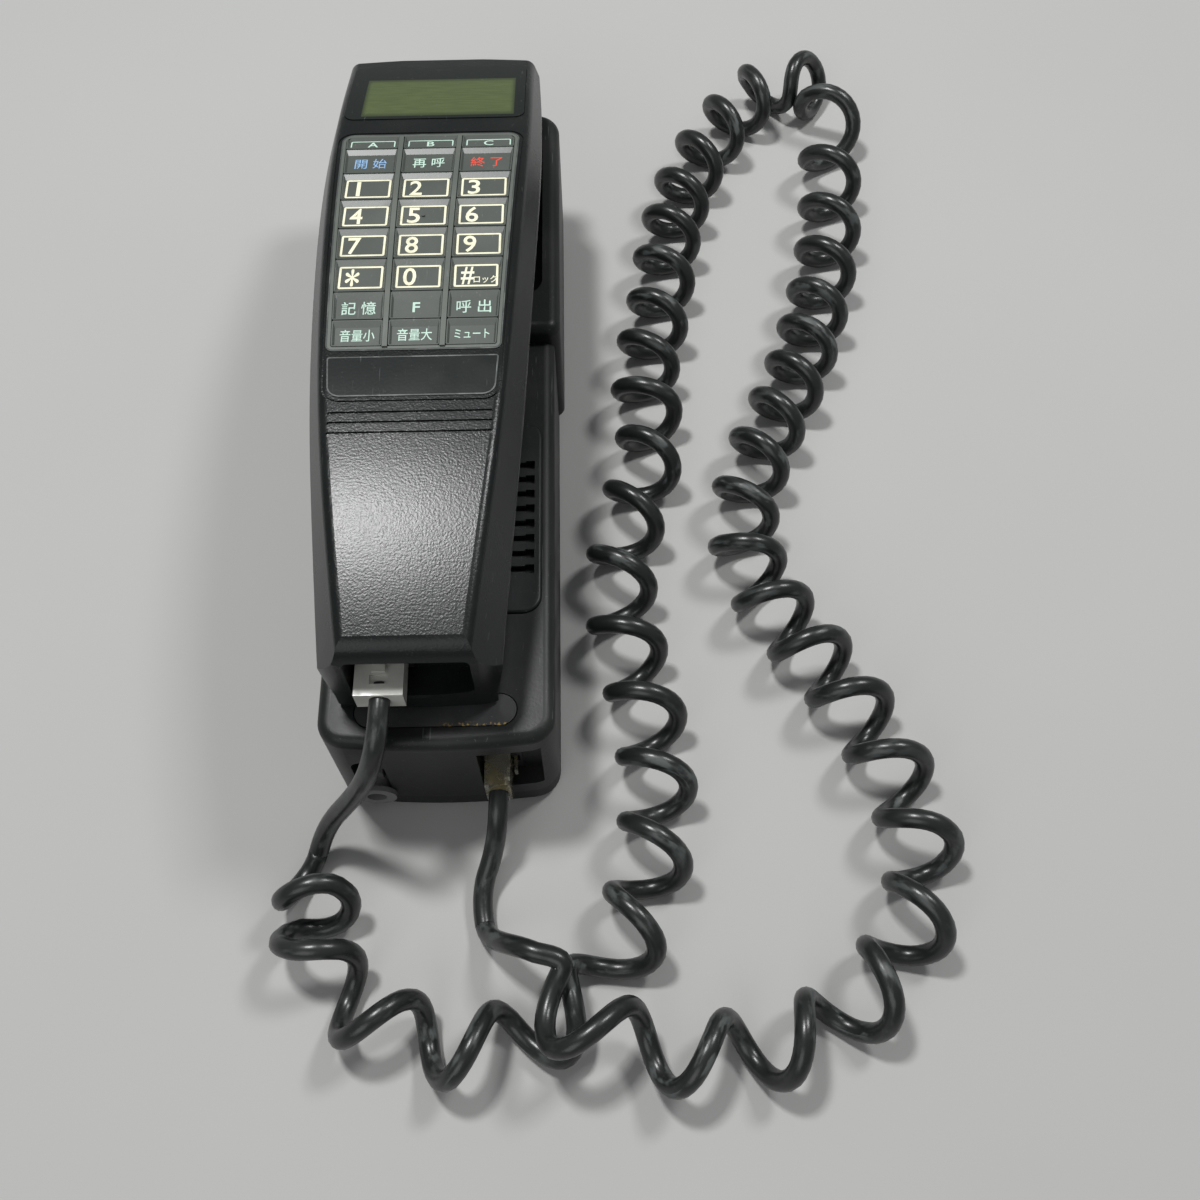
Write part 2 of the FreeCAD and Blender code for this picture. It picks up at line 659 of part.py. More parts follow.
def sound_holes(pitch, rings):
    """Hole centres on rings round a middle hole."""
    places = []
    for ring, count in enumerate(rings):
        for index in range(count):
            angle = 2 * math.pi * index / count
            places.append((ring * pitch * math.cos(angle), ring * pitch * math.sin(angle)))
    return places


def display_window():
    band = arch_band(-LENS_THICK + LENS_PROUD, LENS_PROUD, LENS_LOW - 2.0, LENS_HIGH + 2.0, BAND_HALF)
    return lens_prism(0.0).common(band)


def lcd_module():
    middle = (LCD_LOW + LCD_HIGH) / 2
    half = LCD_HALF + LCD_MARGIN
    length = (LCD_HIGH - LCD_LOW) / 2 + LCD_MARGIN
    top = -WALL - SEAT_GAP - 0.2
    module = box(-half, half, -length, length, top - LCD_THICK, top)
    glass = box(-LCD_HALF, LCD_HALF, -length + LCD_MARGIN, length - LCD_MARGIN, top, top + 0.9)
    return on_face(module.fuse(glass), middle)


def badge_plate():
    band = arch_band(-BADGE_THICK + BADGE_PROUD + 0.02, BADGE_PROUD,
                     BADGE_LOW - 3.0, BADGE_HIGH + 3.0, BAND_HALF)
    return badge_prism(0.0).common(band)


def column_bar(index, grow):
    """Upright prism over the strip between two columns of keys."""
    half = STRIP_WIDTH / 2 + grow
    low = PAD_LOW + PAD_BORDER / 2
    high = PAD_HIGH - PAD_BORDER - STRIP_WIDTH
    share = 2.0 * index / COLUMNS - 1.0
    x_low = share * pad_half(low)
    x_high = share * pad_half(high)
    points = [(x_low - half, arch_y(low)), (x_low + half, arch_y(low)),
              (x_high + half, arch_y(high) + half), (x_high - half, arch_y(high) + half)]
    return plan_prism(points, (0, 0, half * 0.9, half * 0.9), CUT_LOW, CUT_HIGH)


def keypad_mat(room):
    base = arch_band(MAT_TOP - MAT_THICK, MAT_TOP, PAD_LOW - 6.0, PAD_HIGH + 6.0, BAND_HALF)
    mat = pad_prism(MAT_FLANGE).common(base).common(room)
    border = pad_prism(0.0).cut(pad_prism(-PAD_BORDER))
    wall = arch_band(MAT_TOP - MAT_THICK / 2, BORDER_PROUD, PAD_LOW - 6.0, PAD_HIGH + 6.0, BAND_HALF)
    mat = mat.fuse(border.common(wall))
    ridge = arch_band(MAT_TOP - MAT_THICK / 2, STRIP_PROUD, PAD_LOW - 6.0, PAD_HIGH + 6.0, BAND_HALF)
    for index in range(1, COLUMNS):
        mat = mat.fuse(column_bar(index, 0.0).common(ridge))
    return one_solid(mat)


def key_corners(row, column, inset_far, inset_near, inset_side):
    """Corners of one key in its own flat frame, anticlockwise from the near left."""
    start = PAD_LOW + sum(ROW_LENGTHS[:row])
    middle = start + ROW_LENGTHS[row] / 2
    near = start + KEY_GAP + inset_near + (PAD_BORDER if row == 0 else 0)
    far = start + ROW_LENGTHS[row] - KEY_GAP - inset_far
    far -= PAD_BORDER if row == len(ROW_LENGTHS) - 1 else 0
    corners = []
    for along, left in ((near, True), (near, False), (far, False), (far, True)):
        half = pad_half(along)
        edge = column if left else column + 1
        x = (2.0 * edge / COLUMNS - 1.0) * half
        outside = edge in (0, COLUMNS)
        margin = PAD_BORDER if outside else STRIP_WIDTH / 2
        margin += KEY_GAP + inset_side
        corners.append((x + margin if left else x - margin, along - middle))
    return corners, middle


def key(row, column):
    """A key like a shallow tray, with sloping sides round a flat legend."""
    rim, middle = key_corners(row, column, 0.0, 0.0, 0.0)
    corner = KEY_CORNER
    body = plan_prism(rim, (corner,) * 4, KEY_UNDER, KEY_RIM)
    short = ROW_LENGTHS[row] < ROW_LENGTHS[0]
    slope_far = SLOPE_FAR / 2 if short else SLOPE_FAR
    edge, _ = key_corners(row, column, RIM_LAND, RIM_LAND, RIM_LAND)
    floor, _ = key_corners(row, column, RIM_LAND + slope_far, RIM_LAND + SLOPE_NEAR,
                           RIM_LAND + SLOPE_SIDE)
    rise = KEY_RIM - KEY_FLOOR
    above = [(e[0] * 2 - f[0], e[1] * 2 - f[1]) for e, f in zip(edge, floor)]
    low_wire = outline([vec(x, y, KEY_FLOOR) for x, y in floor], (0,) * 4)
    high_wire = outline([vec(x, y, KEY_RIM + rise) for x, y in above], (0,) * 4)
    tray = Part.makeLoft([low_wire, high_wire], True, True)
    shape = body.cut(tray)
    if KEY_NAMES[row][column] == "5":
        x = (floor[0][0] + floor[1][0]) / 2
        y = (floor[0][1] + floor[3][1]) / 2
        shape = shape.fuse(post(x, y, KEY_FLOOR - 0.3, KEY_FLOOR + KEY_DOT_R, KEY_DOT_R))
    placed = on_face(shape, middle)
    if row in (0, len(KEY_NAMES) - 1) and column in (0, COLUMNS - 1):
        placed = placed.common(pad_prism(-PAD_BORDER - KEY_GAP))
    return one_solid(placed)


def key_contact_sheet(room):
    top = MAT_TOP - MAT_THICK - SEAT_GAP
    band = arch_band(top - SHEET_THICK, top, PAD_LOW - 6.0, PAD_HIGH + 6.0, BAND_HALF)
    return pad_prism(MAT_FLANGE).common(band).common(room)


def handset_circuit_board():
    half = HANDSET_BOARD_HALF
    near, far = HANDSET_BOARD_Y
    board = rounded_box(-half, half, near, far, HANDSET_BOARD_Z,
                        HANDSET_BOARD_Z + BOARD_THICK, 2.0)
    chips = ((-10.0, -20.0, 14.0, 10.0), (9.0, -24.0, 10.0, 10.0), (-4.0, 2.0, 18.0, 8.0))
    for x, y, width, length in chips:
        chip = box(x - width / 2, x + width / 2, y - length / 2, y + length / 2,
                   HANDSET_BOARD_Z + BOARD_THICK, HANDSET_BOARD_Z + BOARD_THICK + 2.4)
        board = board.fuse(chip)
    return one_solid(board)


def capsule(x, y, low, radius, depth):
    """Round sound capsule with a stepped rim and a shallow dish in its front."""
    body = post(x, y, low, low + depth, radius)
    back = post(x, y, low + depth, low + depth + 1.4, radius * 0.6)
    dish = post(x, y, low - 0.1, low + 0.5, radius * 0.7)
    return body.fuse(back).cut(dish)


def plug():
    """Clear modular plug, rear end at y = 0, latch on top, cord leaving along -y."""
    half = PLUG_WIDTH / 2
    body = box(-half, half, 0.0, PLUG_LENGTH, -PLUG_THICK / 2, PLUG_THICK / 2)
    mouth = Part.makeCylinder(CORD_R, PLUG_MOUTH + 1.0, vec(0, -1.0, 0), vec(0, 1, 0))
    body = body.cut(mouth)
    for index in range(PLUG_WAYS):
        x = (index - (PLUG_WAYS - 1) / 2) * CONTACT_PITCH
        body = body.cut(box(x - 0.28, x + 0.28, PLUG_LENGTH - 6.5, PLUG_LENGTH + 1.0,
                            -PLUG_THICK / 2 - 1.0, -PLUG_THICK / 2 + 2.4))
    window = box(-2.2, 2.2, 3.0, 5.6, PLUG_THICK / 2 - 1.0, PLUG_THICK / 2 + 1.0)
    body = body.cut(window)
    side = -LATCH_WIDTH / 2
    top = PLUG_THICK / 2
    lever = [vec(side, PLUG_LENGTH - 1.0, top - 0.4), vec(side, PLUG_LENGTH - 1.0, top + 0.4),
             vec(side, PLUG_LENGTH - 5.0, top + 1.2), vec(side, LATCH_TIP, top + 1.6),
             vec(side, LATCH_TIP, top + 0.8), vec(side, PLUG_LENGTH - 5.0, top + 0.3),
             vec(side, PLUG_LENGTH - 3.0, top - 0.4)]
    latch = Part.Face(outline(lever, (0,) * 7)).extrude(vec(LATCH_WIDTH, 0, 0))
    return one_solid(body.fuse(latch))


def plug_contacts():
    blades = []
    for index in range(PLUG_WAYS):
        x = (index - (PLUG_WAYS - 1) / 2) * CONTACT_PITCH
        blades.append(box(x - 0.15, x + 0.15, PLUG_LENGTH - 6.0, PLUG_LENGTH - 0.8,
                          -PLUG_THICK / 2 + 0.1, -PLUG_THICK / 2 + 2.2))
    return Part.makeCompound(blades)


def at_handset_end(shape):
    """A plug or its socket in the handset's end, latch up."""
    moved = shape.copy()
    moved.translate(vec(HANDSET_PLUG_X, HANDSET_NEAR_Y - PLUG_STANDOFF_HANDSET, HANDSET_PLUG_Z))
    return in_handset(moved)


def socket(near):
    """Socket for one plug, in the plug's own frame, open towards -y."""
    half = PLUG_WIDTH / 2 + PLUG_GAP
    low = -PLUG_THICK / 2 - PLUG_GAP
    deep = PLUG_LENGTH + PLUG_GAP
    cavity = box(-half, half, 0.0, deep, low, PLUG_THICK / 2 + PLUG_GAP)
    latch_slot = box(-LATCH_WIDTH / 2 - PLUG_GAP, LATCH_WIDTH / 2 + PLUG_GAP, 0.0, deep,
                     0.0, PLUG_THICK / 2 + 2 * SOCKET_WALL - SOCKET_WALL / 2)
    return one_solid(jack_block(near, 0.0).cut(cavity).cut(latch_slot))


def handset_screw(x, y, low, length):
    shank = post(x, y, low, low + length, SCREW_R)
    head = post(x, y, low, low + SCREW_HEAD, SCREW_HEAD_R)
    cross = box(x - 1.5, x + 1.5, y - 0.3, y + 0.3, low - 1.0, low + 1.0)
    other = box(x - 0.3, x + 0.3, y - 1.5, y + 1.5, low - 1.0, low + 1.0)
    return shank.fuse(head).cut(cross).cut(other)


def handset_screws():
    screws = []
    for at_rear, (x, y) in enumerate(HANDSET_SCREWS):
        low = screw_floor(at_rear) + SCREW_SINK
        for side in (-1, 1):
            screws.append(handset_screw(side * x, y, low, SCREW_LENGTHS[at_rear]))
    return Part.makeCompound(screws)


def bow_tip():
    """How far the tip of the bowed front's outline stands out of its arc."""
    return BOW_R * (math.hypot(1.0, BOW_SLOPE) - 1.0)


def cradle_points():
    side_y = FRONT_Y - bow_tip() + BOW_SLOPE * CRADLE_HALF
    return [(-CRADLE_HALF, side_y), (0.0, FRONT_Y - bow_tip()), (CRADLE_HALF, side_y),
            (CRADLE_HALF, CRADLE_FAR_Y), (-CRADLE_HALF, CRADLE_FAR_Y)]


def hood_points():
    return [(-HOOD_HALF, STEP_Y), (HOOD_HALF, STEP_Y),
            (HOOD_HALF, CRADLE_FAR_Y), (-HOOD_HALF, CRADLE_FAR_Y)]


def cradle_prism(inset, low, high):
    radii = (CRADLE_CORNER - inset, BOW_R - inset, CRADLE_CORNER - inset,
             CRADLE_CORNER - inset, CRADLE_CORNER - inset)
    return plan_prism(inset_points(cradle_points(), inset), radii, low, high)


def hood_prism(inset, low, high):
    near = HOOD_CORNER - inset
    far = CRADLE_CORNER - inset
    return plan_prism(inset_points(hood_points(), inset), (near, near, far, far), low, high)


def round_level_edges(shape, level, radius):
    """Fillet the edges that lie at one height."""
    edges = []
    for edge in shape.Edges:
        bounds = edge.BoundBox
        if abs(bounds.ZMin - level) < 1e-4 and abs(bounds.ZMax - level) < 1e-4:
            edges.append(edge)
    return shape.makeFillet(radius, edges)


def cradle_outer():
    deck = round_level_edges(cradle_prism(0.0, SEAM_Z, DECK_Z), DECK_Z, CRADLE_EDGE)
    hood = round_level_edges(hood_prism(0.0, SEAM_Z, RAIL_Z), RAIL_Z, CRADLE_EDGE)
    return deck.fuse(hood)


def cradle_inner():
    deck = cradle_prism(WALL, 0.0, DECK_Z - WALL)
    return deck.fuse(hood_prism(WALL, 0.0, RAIL_Z - WALL))


def well(grow):
    """Well for the earpiece, grown by a wall all round and below."""
    left = -HOOD_HALF + LEFT_RAIL - grow
    right = HOOD_HALF - RIGHT_RAIL + grow
    near = WELL_NEAR_Y - grow
    far = WELL_FAR_Y + grow
    points = ((left, near), (right, near), (right, far), (left, far))
    radii = (WELL_CORNER_NEAR + grow,) * 2 + (WELL_CORNER_FAR + grow,) * 2
    high = RAIL_Z - WALL / 2 if grow else FAR
    return plan_prism(points, radii, WELL_Z - grow, high)


def corners_of(x, near, far):
    return [(side * x, y) for side in (-1, 1) for y in (near, far)]


def pocket(grow):
    return box(POCKET_LEFT - grow, POCKET_RIGHT + grow, FRONT_Y - 10.0,
               FRONT_Y + POCKET_DEPTH + grow, POCKET_LOW - grow, POCKET_HIGH + grow)


def cable_hole():
    """Upright slot with a rounded top for the cable to the vehicle."""
    left = CABLE_HOLE_X - CABLE_HOLE_HALF
    right = CABLE_HOLE_X + CABLE_HOLE_HALF
    high = CABLE_HOLE_HIGH - CABLE_HOLE_HALF
    slot = box(left, right, FRONT_Y - 10.0, FRONT_Y + CABLE_HOLE_DEPTH, CABLE_HOLE_LOW, high)
    top = Part.makeCylinder(CABLE_HOLE_HALF, CABLE_HOLE_DEPTH + 10.0,
                            vec(CABLE_HOLE_X, FRONT_Y - 10.0, high), vec(0, 1, 0))
    return slot.fuse(top)


def cable_duct():
    """Walls round the niche behind the cable slot."""
    left = CABLE_HOLE_X - CABLE_HOLE_HALF - WALL
    right = CABLE_HOLE_X + CABLE_HOLE_HALF + WALL
    return box(left, right, FRONT_Y, FRONT_Y + CABLE_HOLE_DEPTH + WALL,
               SEAM_Z, CABLE_HOLE_HIGH + WALL)


def gland_seat(grow):
    return Part.makeCylinder(GLAND_R + grow, CABLE_HOLE_DEPTH + WALL + 12.0,
                             vec(CABLE_HOLE_X, FRONT_Y - 10.0, GLAND_Z), vec(0, 1, 0))


def stadium(length, width, y, low, high):
    """Plate with half-round ends."""
    half = (length - width) / 2
    plate = box(-half, half, y - width / 2, y + width / 2, low, high)
    for side in (-1, 1):
        plate = plate.fuse(post(side * half, y, low, high, width / 2))
    return plate.removeSplitter()


def grille_outline(grow, low, high):
    return rounded_box(-GRILLE_HALF - grow, GRILLE_HALF + grow, GRILLE_NEAR_Y - grow,
                       GRILLE_FAR_Y + grow, low, high, GRILLE_CORNER + grow)


def plunger_hole(grow, low, high):
    half = HOOK_HALF + grow
    return box(-half, half, HOOK_Y - half, HOOK_Y + half, low, high)


def jack_block(near, grow):
    """Outside of a socket block in the plug's own frame."""
    half = PLUG_WIDTH / 2 + SOCKET_WALL + grow
    low = -PLUG_THICK / 2 - SOCKET_WALL - grow
    high = PLUG_THICK / 2 + 2 * SOCKET_WALL + grow
    return box(-half, half, near - grow, near + SOCKET_DEPTH + grow, low, high)


def speaker_middle_y():
    return SLOT_FIRST_Y + SLOT_PITCH * (SLOT_COUNT - 1) / 2


def cradle_shell():
    outer = cradle_outer()
    inner = cradle_inner()
    shell = outer.cut(inner)
    inside = outer.cut(cradle_prism(WALL / 2, 0.0, SEAM_Z))
    shell = shell.fuse(well(WALL).common(inside))
    seats = (
        grille_outline(WALL, DECK_Z - GRILLE_SEAT - WALL, DECK_Z - WALL / 2),
        stadium(COVER_LENGTH + 2 * WALL, COVER_WIDTH + 2 * WALL, COVER_Y,
                DECK_Z - COVER_DEPTH - WALL, DECK_Z - WALL / 2),
        pocket(WALL),
        cable_duct(),
    )
    for seat in seats:
        shell = shell.fuse(seat.common(inside))
    for x, y in corners_of(BASE_SCREW_X, -BASE_SCREW_Y, BASE_SCREW_Y):
        column = post(x, y, SEAM_Z, RAIL_Z, BASE_SCREW_R + BOSS_WALL)
        top = WELL_Z - WALL / 2 if y > 0 else DECK_Z - WALL / 2
        column = column.common(box(-FAR, FAR, -FAR, FAR, SEAM_Z, top))
        shell = shell.fuse(column)
    shell = shell.cut(well(0.0))
    shell = shell.cut(grille_outline(SEAT_GAP, DECK_Z - GRILLE_SEAT, DECK_Z + 5.0))
    shell = shell.cut(stadium(COVER_LENGTH + 2 * COVER_GAP, COVER_WIDTH + 2 * COVER_GAP,
                              COVER_Y, DECK_Z - COVER_DEPTH, DECK_Z + 5.0))
    shell = shell.cut(post(0.0, speaker_middle_y(), 0.0, FAR, SPEAKER_R - SPEAKER_RIM))
    shell = shell.cut(pocket(0.0)).cut(cable_hole()).cut(gland_seat(SEAT_GAP))
    shell = shell.cut(turned_for_cradle(jack_block(PLUG_STANDOFF + POCKET_DEPTH, SEAT_GAP)))
    shell = shell.cut(plunger_hole(RUNNING_GAP, 0.0, FAR))
    for x, y in corners_of(BASE_SCREW_X, -BASE_SCREW_Y, BASE_SCREW_Y):
        shell = shell.cut(post(x, y, 0.0, BASE_Z + BASE_SCREW_LENGTH + 1.0,
                               BASE_SCREW_R + SEAT_GAP))
    return in_cradle(one_solid(shell))


def base_boss_top():
    return BASE_Z + INSERT_LENGTH + BOSS_WALL


def cradle_base_plate():
    tray = cradle_prism(0.0, BASE_Z, SEAM_Z)
    tray = round_level_edges(tray, BASE_Z, BASE_EDGE)
    tray = tray.cut(cradle_prism(WALL, BASE_Z + WALL, SEAM_Z + 1.0))
    for x, y in corners_of(INSERT_X, -INSERT_Y, INSERT_Y):
        tray = tray.fuse(post(x, y, BASE_Z + WALL / 2, base_boss_top(),
                              INSERT_OUTER_R + BOSS_WALL))
    for x, y in corners_of(BASE_SCREW_X, -BASE_SCREW_Y, BASE_SCREW_Y):
        tray = tray.fuse(post(x, y, BASE_Z + WALL / 2, SEAM_Z, BASE_SCREW_R + BOSS_WALL))
    for x, y in corners_of(CRADLE_BOARD_HALF - 3.0, CRADLE_BOARD_Y[0] + 3.0,
                           CRADLE_BOARD_Y[1] - 3.0):
        tray = tray.fuse(post(x, y, BASE_Z + WALL / 2, CRADLE_BOARD_Z, 2.0))
    for x, y in corners_of(INSERT_X, -INSERT_Y, INSERT_Y):
        tray = tray.cut(post(x, y, 0.0, BASE_Z + INSERT_LENGTH, INSERT_OUTER_R))
    for x, y in corners_of(BASE_SCREW_X, -BASE_SCREW_Y, BASE_SCREW_Y):
        tray = tray.cut(post(x, y, 0.0, FAR, BASE_SCREW_R + SEAT_GAP))
        tray = tray.cut(post(x, y, 0.0, BASE_Z + BASE_SCREW_HEAD + 0.3,
                             BASE_SCREW_HEAD_R + SEAT_GAP))
    tray = tray.cut(gland_seat(SEAT_GAP))
    return in_cradle(one_solid(tray))


def grille_panel():
    low = DECK_Z - GRILLE_SEAT
    high = DECK_Z + GRILLE_PROUD
    panel = grille_outline(0.0, low, high)
    panel = round_level_edges(panel, high, GRILLE_PROUD * 0.8)
    for index in range(SLOT_COUNT):
        y = SLOT_FIRST_Y + index * SLOT_PITCH
        slot = box(-SLOT_HALF, SLOT_HALF, y - SLOT_WIDTH / 2, y + SLOT_WIDTH / 2,
                   low - 1.0, high + 1.0)
        for side in (-1, 1):
            notch = box(-NOTCH_LENGTH / 2, NOTCH_LENGTH / 2, -NOTCH_WIDTH / 2, NOTCH_WIDTH / 2,
                        low - 1.0, high + 1.0)
            notch.translate(vec(side * (SLOT_HALF - NOTCH_LENGTH / 2), y, 0.0))
            slot = slot.fuse(notch)
        panel = panel.cut(slot)
    return in_cradle(one_solid(panel))


def deck_cover_plate():
    return in_cradle(stadium(COVER_LENGTH, COVER_WIDTH, COVER_Y, DECK_Z - COVER_DEPTH,
                             DECK_Z + 0.1))


def cradle_speaker():
    top = DECK_Z - GRILLE_SEAT - WALL
    y = speaker_middle_y()
    rim = post(0.0, y, top - 2.5, top, SPEAKER_R)
    basket = Part.makeCone(SPEAKER_R * 0.5, SPEAKER_R - 2.0, SPEAKER_DEPTH * 0.5,
                           vec(0, y, top - 2.5 - SPEAKER_DEPTH * 0.5))
    magnet = post(0.0, y, top - SPEAKER_DEPTH, top - SPEAKER_DEPTH * 0.6, SPEAKER_R * 0.55)
    bowl = Part.makeCone(4.0, SPEAKER_R - SPEAKER_RIM, 4.0, vec(0, y, top - 3.9))
    cone = rim.fuse(basket).fuse(magnet).cut(bowl)
    dome = Part.makeSphere(4.0, vec(0, y, top - 5.6))
    return in_cradle(one_solid(cone.fuse(dome)))


def cradle_circuit_board():
    half = CRADLE_BOARD_HALF
    near, far = CRADLE_BOARD_Y
    top = CRADLE_BOARD_Z + BOARD_THICK
    board = rounded_box(-half, half, near, far, CRADLE_BOARD_Z, top, 2.0)
    chips = ((-9.0, 10.0, 14.0, 14.0, 3.0), (10.0, 14.0, 10.0, 20.0, 3.0),
             (0.0, -14.0, 26.0, 8.0, 4.0), (14.0, -50.0, 9.0, 9.0, 10.0))
    for x, y, width, length, tall in chips:
        chip = box(x - width / 2, x + width / 2, y - length / 2, y + length / 2,
                   top - 0.1, top + tall)
        board = board.fuse(chip)
    return in_cradle(one_solid(board))


def turned_for_cradle(shape):
    """A plug or its socket on its edge in the cradle, latch to the right."""
    moved = shape.copy()
    moved.rotate(vec(0, 0, 0), vec(0, 1, 0), 90.0)
    moved.translate(vec(CRADLE_PLUG_X, FRONT_Y - PLUG_STANDOFF, CRADLE_PLUG_Z))
    return moved


def cradle_screws():
    screws = []
    low = BASE_Z + 0.2
    for x, y in corners_of(BASE_SCREW_X, -BASE_SCREW_Y, BASE_SCREW_Y):
        shank = post(x, y, low, low + BASE_SCREW_LENGTH, BASE_SCREW_R)
        head = post(x, y, low, low + BASE_SCREW_HEAD, BASE_SCREW_HEAD_R)
        recess = box(x - 2.0, x + 2.0, y - 0.4, y + 0.4, low - 1.0, low + 0.8)
        cross = box(x - 0.4, x + 0.4, y - 2.0, y + 2.0, low - 1.0, low + 0.8)
        screws.append(shank.fuse(head).cut(recess).cut(cross))
    return in_cradle(Part.makeCompound(screws))


def rubber_feet():
    feet = []
    for x, y in corners_of(CRADLE_HALF - FOOT_INSET, FRONT_Y + FOOT_INSET + 2.0,
                           CRADLE_FAR_Y - FOOT_INSET):
        foot = Part.makeCone(FOOT_R - 0.4, FOOT_R, BASE_Z, vec(x, y, 0.0))
        feet.append(foot)
    return in_cradle(Part.makeCompound(feet))


def mounting_inserts():
    inserts = []
    for x, y in corners_of(INSERT_X, -INSERT_Y, INSERT_Y):
        sleeve = post(x, y, BASE_Z, BASE_Z + INSERT_LENGTH, INSERT_OUTER_R)
        inserts.append(sleeve.cut(post(x, y, 0.0, FAR, INSERT_R)))
    return in_cradle(Part.makeCompound(inserts))


def cable_gland():
    """Strain relief for a cable through the cradle's front, with a tongue over it."""
    y = FRONT_Y + CABLE_HOLE_DEPTH + WALL
    axis = vec(0, 1, 0)
    inner_x = abs(CABLE_HOLE_X) - GLAND_R - GLAND_FLANGE
    flange_y = cradle_front_y(inner_x) - GLAND_FLANGE
    sleeve = Part.makeCylinder(GLAND_R, y - flange_y, vec(CABLE_HOLE_X, flange_y, GLAND_Z), axis)
    flange = Part.makeCylinder(GLAND_R + GLAND_FLANGE, GLAND_FLANGE,
                               vec(CABLE_HOLE_X, flange_y, GLAND_Z), axis)
    tongue = box(CABLE_HOLE_X - 2.2, CABLE_HOLE_X + 2.2, FRONT_Y + 3.0, FRONT_Y + 5.0,
                 GLAND_Z, GLAND_Z + GLAND_R + 3.5)
    bore = Part.makeCylinder(CABLE_R, FAR, vec(CABLE_HOLE_X, FRONT_Y - 50.0, GLAND_Z), axis)
    return in_cradle(one_solid(sleeve.fuse(flange).fuse(tongue).cut(bore)))


def cradle_front_y(x):
    """Where the bowed front lies at x, away from its middle arc."""
    return FRONT_Y - bow_tip() + BOW_SLOPE * abs(x)


def hook_plunger():
    top = EAR_Z - RUNNING_GAP
    low = top - HOOK_LENGTH
    stem = plunger_hole(0.0, low, top)
    edges = [edge for edge in stem.Edges if edge.BoundBox.ZMin > top - 1e-4]
    stem = stem.makeChamfer(0.8, edges)
    collar = plunger_hole(HOOK_COLLAR, low + 2.0, low + 3.5)
    return in_cradle(one_solid(stem.fuse(collar)))


def hook_switch():
    low = CRADLE_BOARD_Z + BOARD_THICK
    high = EAR_Z - RUNNING_GAP - HOOK_LENGTH - RUNNING_GAP
    body = box(-HOOK_SWITCH[0] / 2, HOOK_SWITCH[0] / 2, HOOK_Y - HOOK_SWITCH[1] / 2,
               HOOK_Y + HOOK_SWITCH[1] / 2, low, high - 1.5)
    button = box(-1.2, 1.2, HOOK_Y - 1.2, HOOK_Y + 1.2, high - 2.0, high)
    return in_cradle(one_solid(body.fuse(button)))


def minus(a, b):
    return tuple(p - q for p, q in zip(a, b))


def plus(a, b, scale=1.0):
    return tuple(p + q * scale for p, q in zip(a, b))


def dot(a, b):
    return sum(p * q for p, q in zip(a, b))


def size_of(a):
    return math.sqrt(dot(a, a))


def unit(a):
    length = size_of(a)
    return tuple(p / length for p in a)


def rounded_route(points):
    """Runs and tangent arcs of a route, and the length along it at each point."""
    pieces = []
    marks = [0.0]
    start = points[0]
    travelled = 0.0
    for index in range(1, len(points) - 1):
        corner = points[index]
        back = minus(points[index - 1], corner)
        ahead = minus(points[index + 1], corner)
        reach = ARC_SHARE * min(size_of(back), size_of(ahead))
        back = unit(back)
        ahead = unit(ahead)
        turn = math.pi - math.acos(max(-1.0, min(1.0, dot(back, ahead))))
        radius = reach / math.tan(turn / 2)
        first = plus(corner, back, reach)
        run = size_of(minus(first, start))
        pieces.append({"start": start, "heading": plus((0, 0, 0), back, -1.0), "length": run,
                       "radius": None})
        travelled += run
        centre = plus(corner, unit(plus(ahead, back)), radius / math.cos(turn / 2))
        pieces.append({"start": first, "heading": plus((0, 0, 0), back, -1.0),
                       "length": radius * turn, "radius": radius, "centre": centre})
        marks.append(travelled + radius * turn / 2)
        travelled += radius * turn
        start = plus(corner, ahead, reach)
    last = minus(points[-1], start)
    pieces.append({"start": start, "heading": unit(last), "length": size_of(last), "radius": None})
    marks.append(travelled + size_of(last))
    return pieces, marks


def along_piece(piece, distance):
    """Place and heading so far along one run or arc."""
    if piece["radius"] is None:
        return plus(piece["start"], piece["heading"], distance), piece["heading"]
    radius = piece["radius"]
    angle = distance / radius
    outward = unit(minus(piece["start"], piece["centre"]))
    place = plus(piece["centre"], outward, radius * math.cos(angle))
    place = plus(place, piece["heading"], radius * math.sin(angle))
    heading = plus(plus((0, 0, 0), piece["heading"], math.cos(angle)), outward, -math.sin(angle))
    return place, heading


def along_route(pieces, distance):
    for piece in pieces:
        if distance <= piece["length"] or piece is pieces[-1]:
            return along_piece(piece, distance)
        distance -= piece["length"]


def ease(share):
    share = max(0.0, min(1.0, share))
    return share * share * (3 - 2 * share)


def curl_place(pieces, marks, count):
    """Where the wire of the curls is after so many curls."""
    index = 0
    while index < len(CURL_ROUTE) - 2 and count > CURL_ROUTE[index + 1][4]:
        index += 1
    _, _, rise, share, before = CURL_ROUTE[index]
    _, _, next_rise, next_share, after = CURL_ROUTE[index + 1]
    part = (count - before) / (after - before)
    rise += ease(part) * (next_rise - rise)
    share += ease(part) * (next_share - share)
    place, heading = along_route(pieces, marks[index] + part * (marks[index + 1] - marks[index]))
    angle = 2 * math.pi * count
    side = CURL_R * math.cos(angle)
    height = CURL_R * (1 - math.sin(angle)) * share + rise
    return (place[0] - side * heading[1], place[1] + side * heading[0],
            CORD_R + CORD_FLOOR + height)


def curl_nodes():
    """Places and headings of the wire at every eighth of a curl, straight ends included."""
    pieces, marks = rounded_route([(x, y, 0.0) for x, y, _, _, _ in CURL_ROUTE])
    first = CURL_ROUTE[0][4]
    last = CURL_ROUTE[-1][4]
    count = int(round((last - first) * CURL_STEPS))
    nodes = []
    for index in range(count + 1):
        turns = first + (last - first) * index / count
        place = curl_place(pieces, marks, turns)
        step = 0.002
        low = curl_place(pieces, marks, max(turns - step, first))
        high = curl_place(pieces, marks, min(turns + step, last))
        nodes.append((place, unit(minus(high, low))))
    return nodes


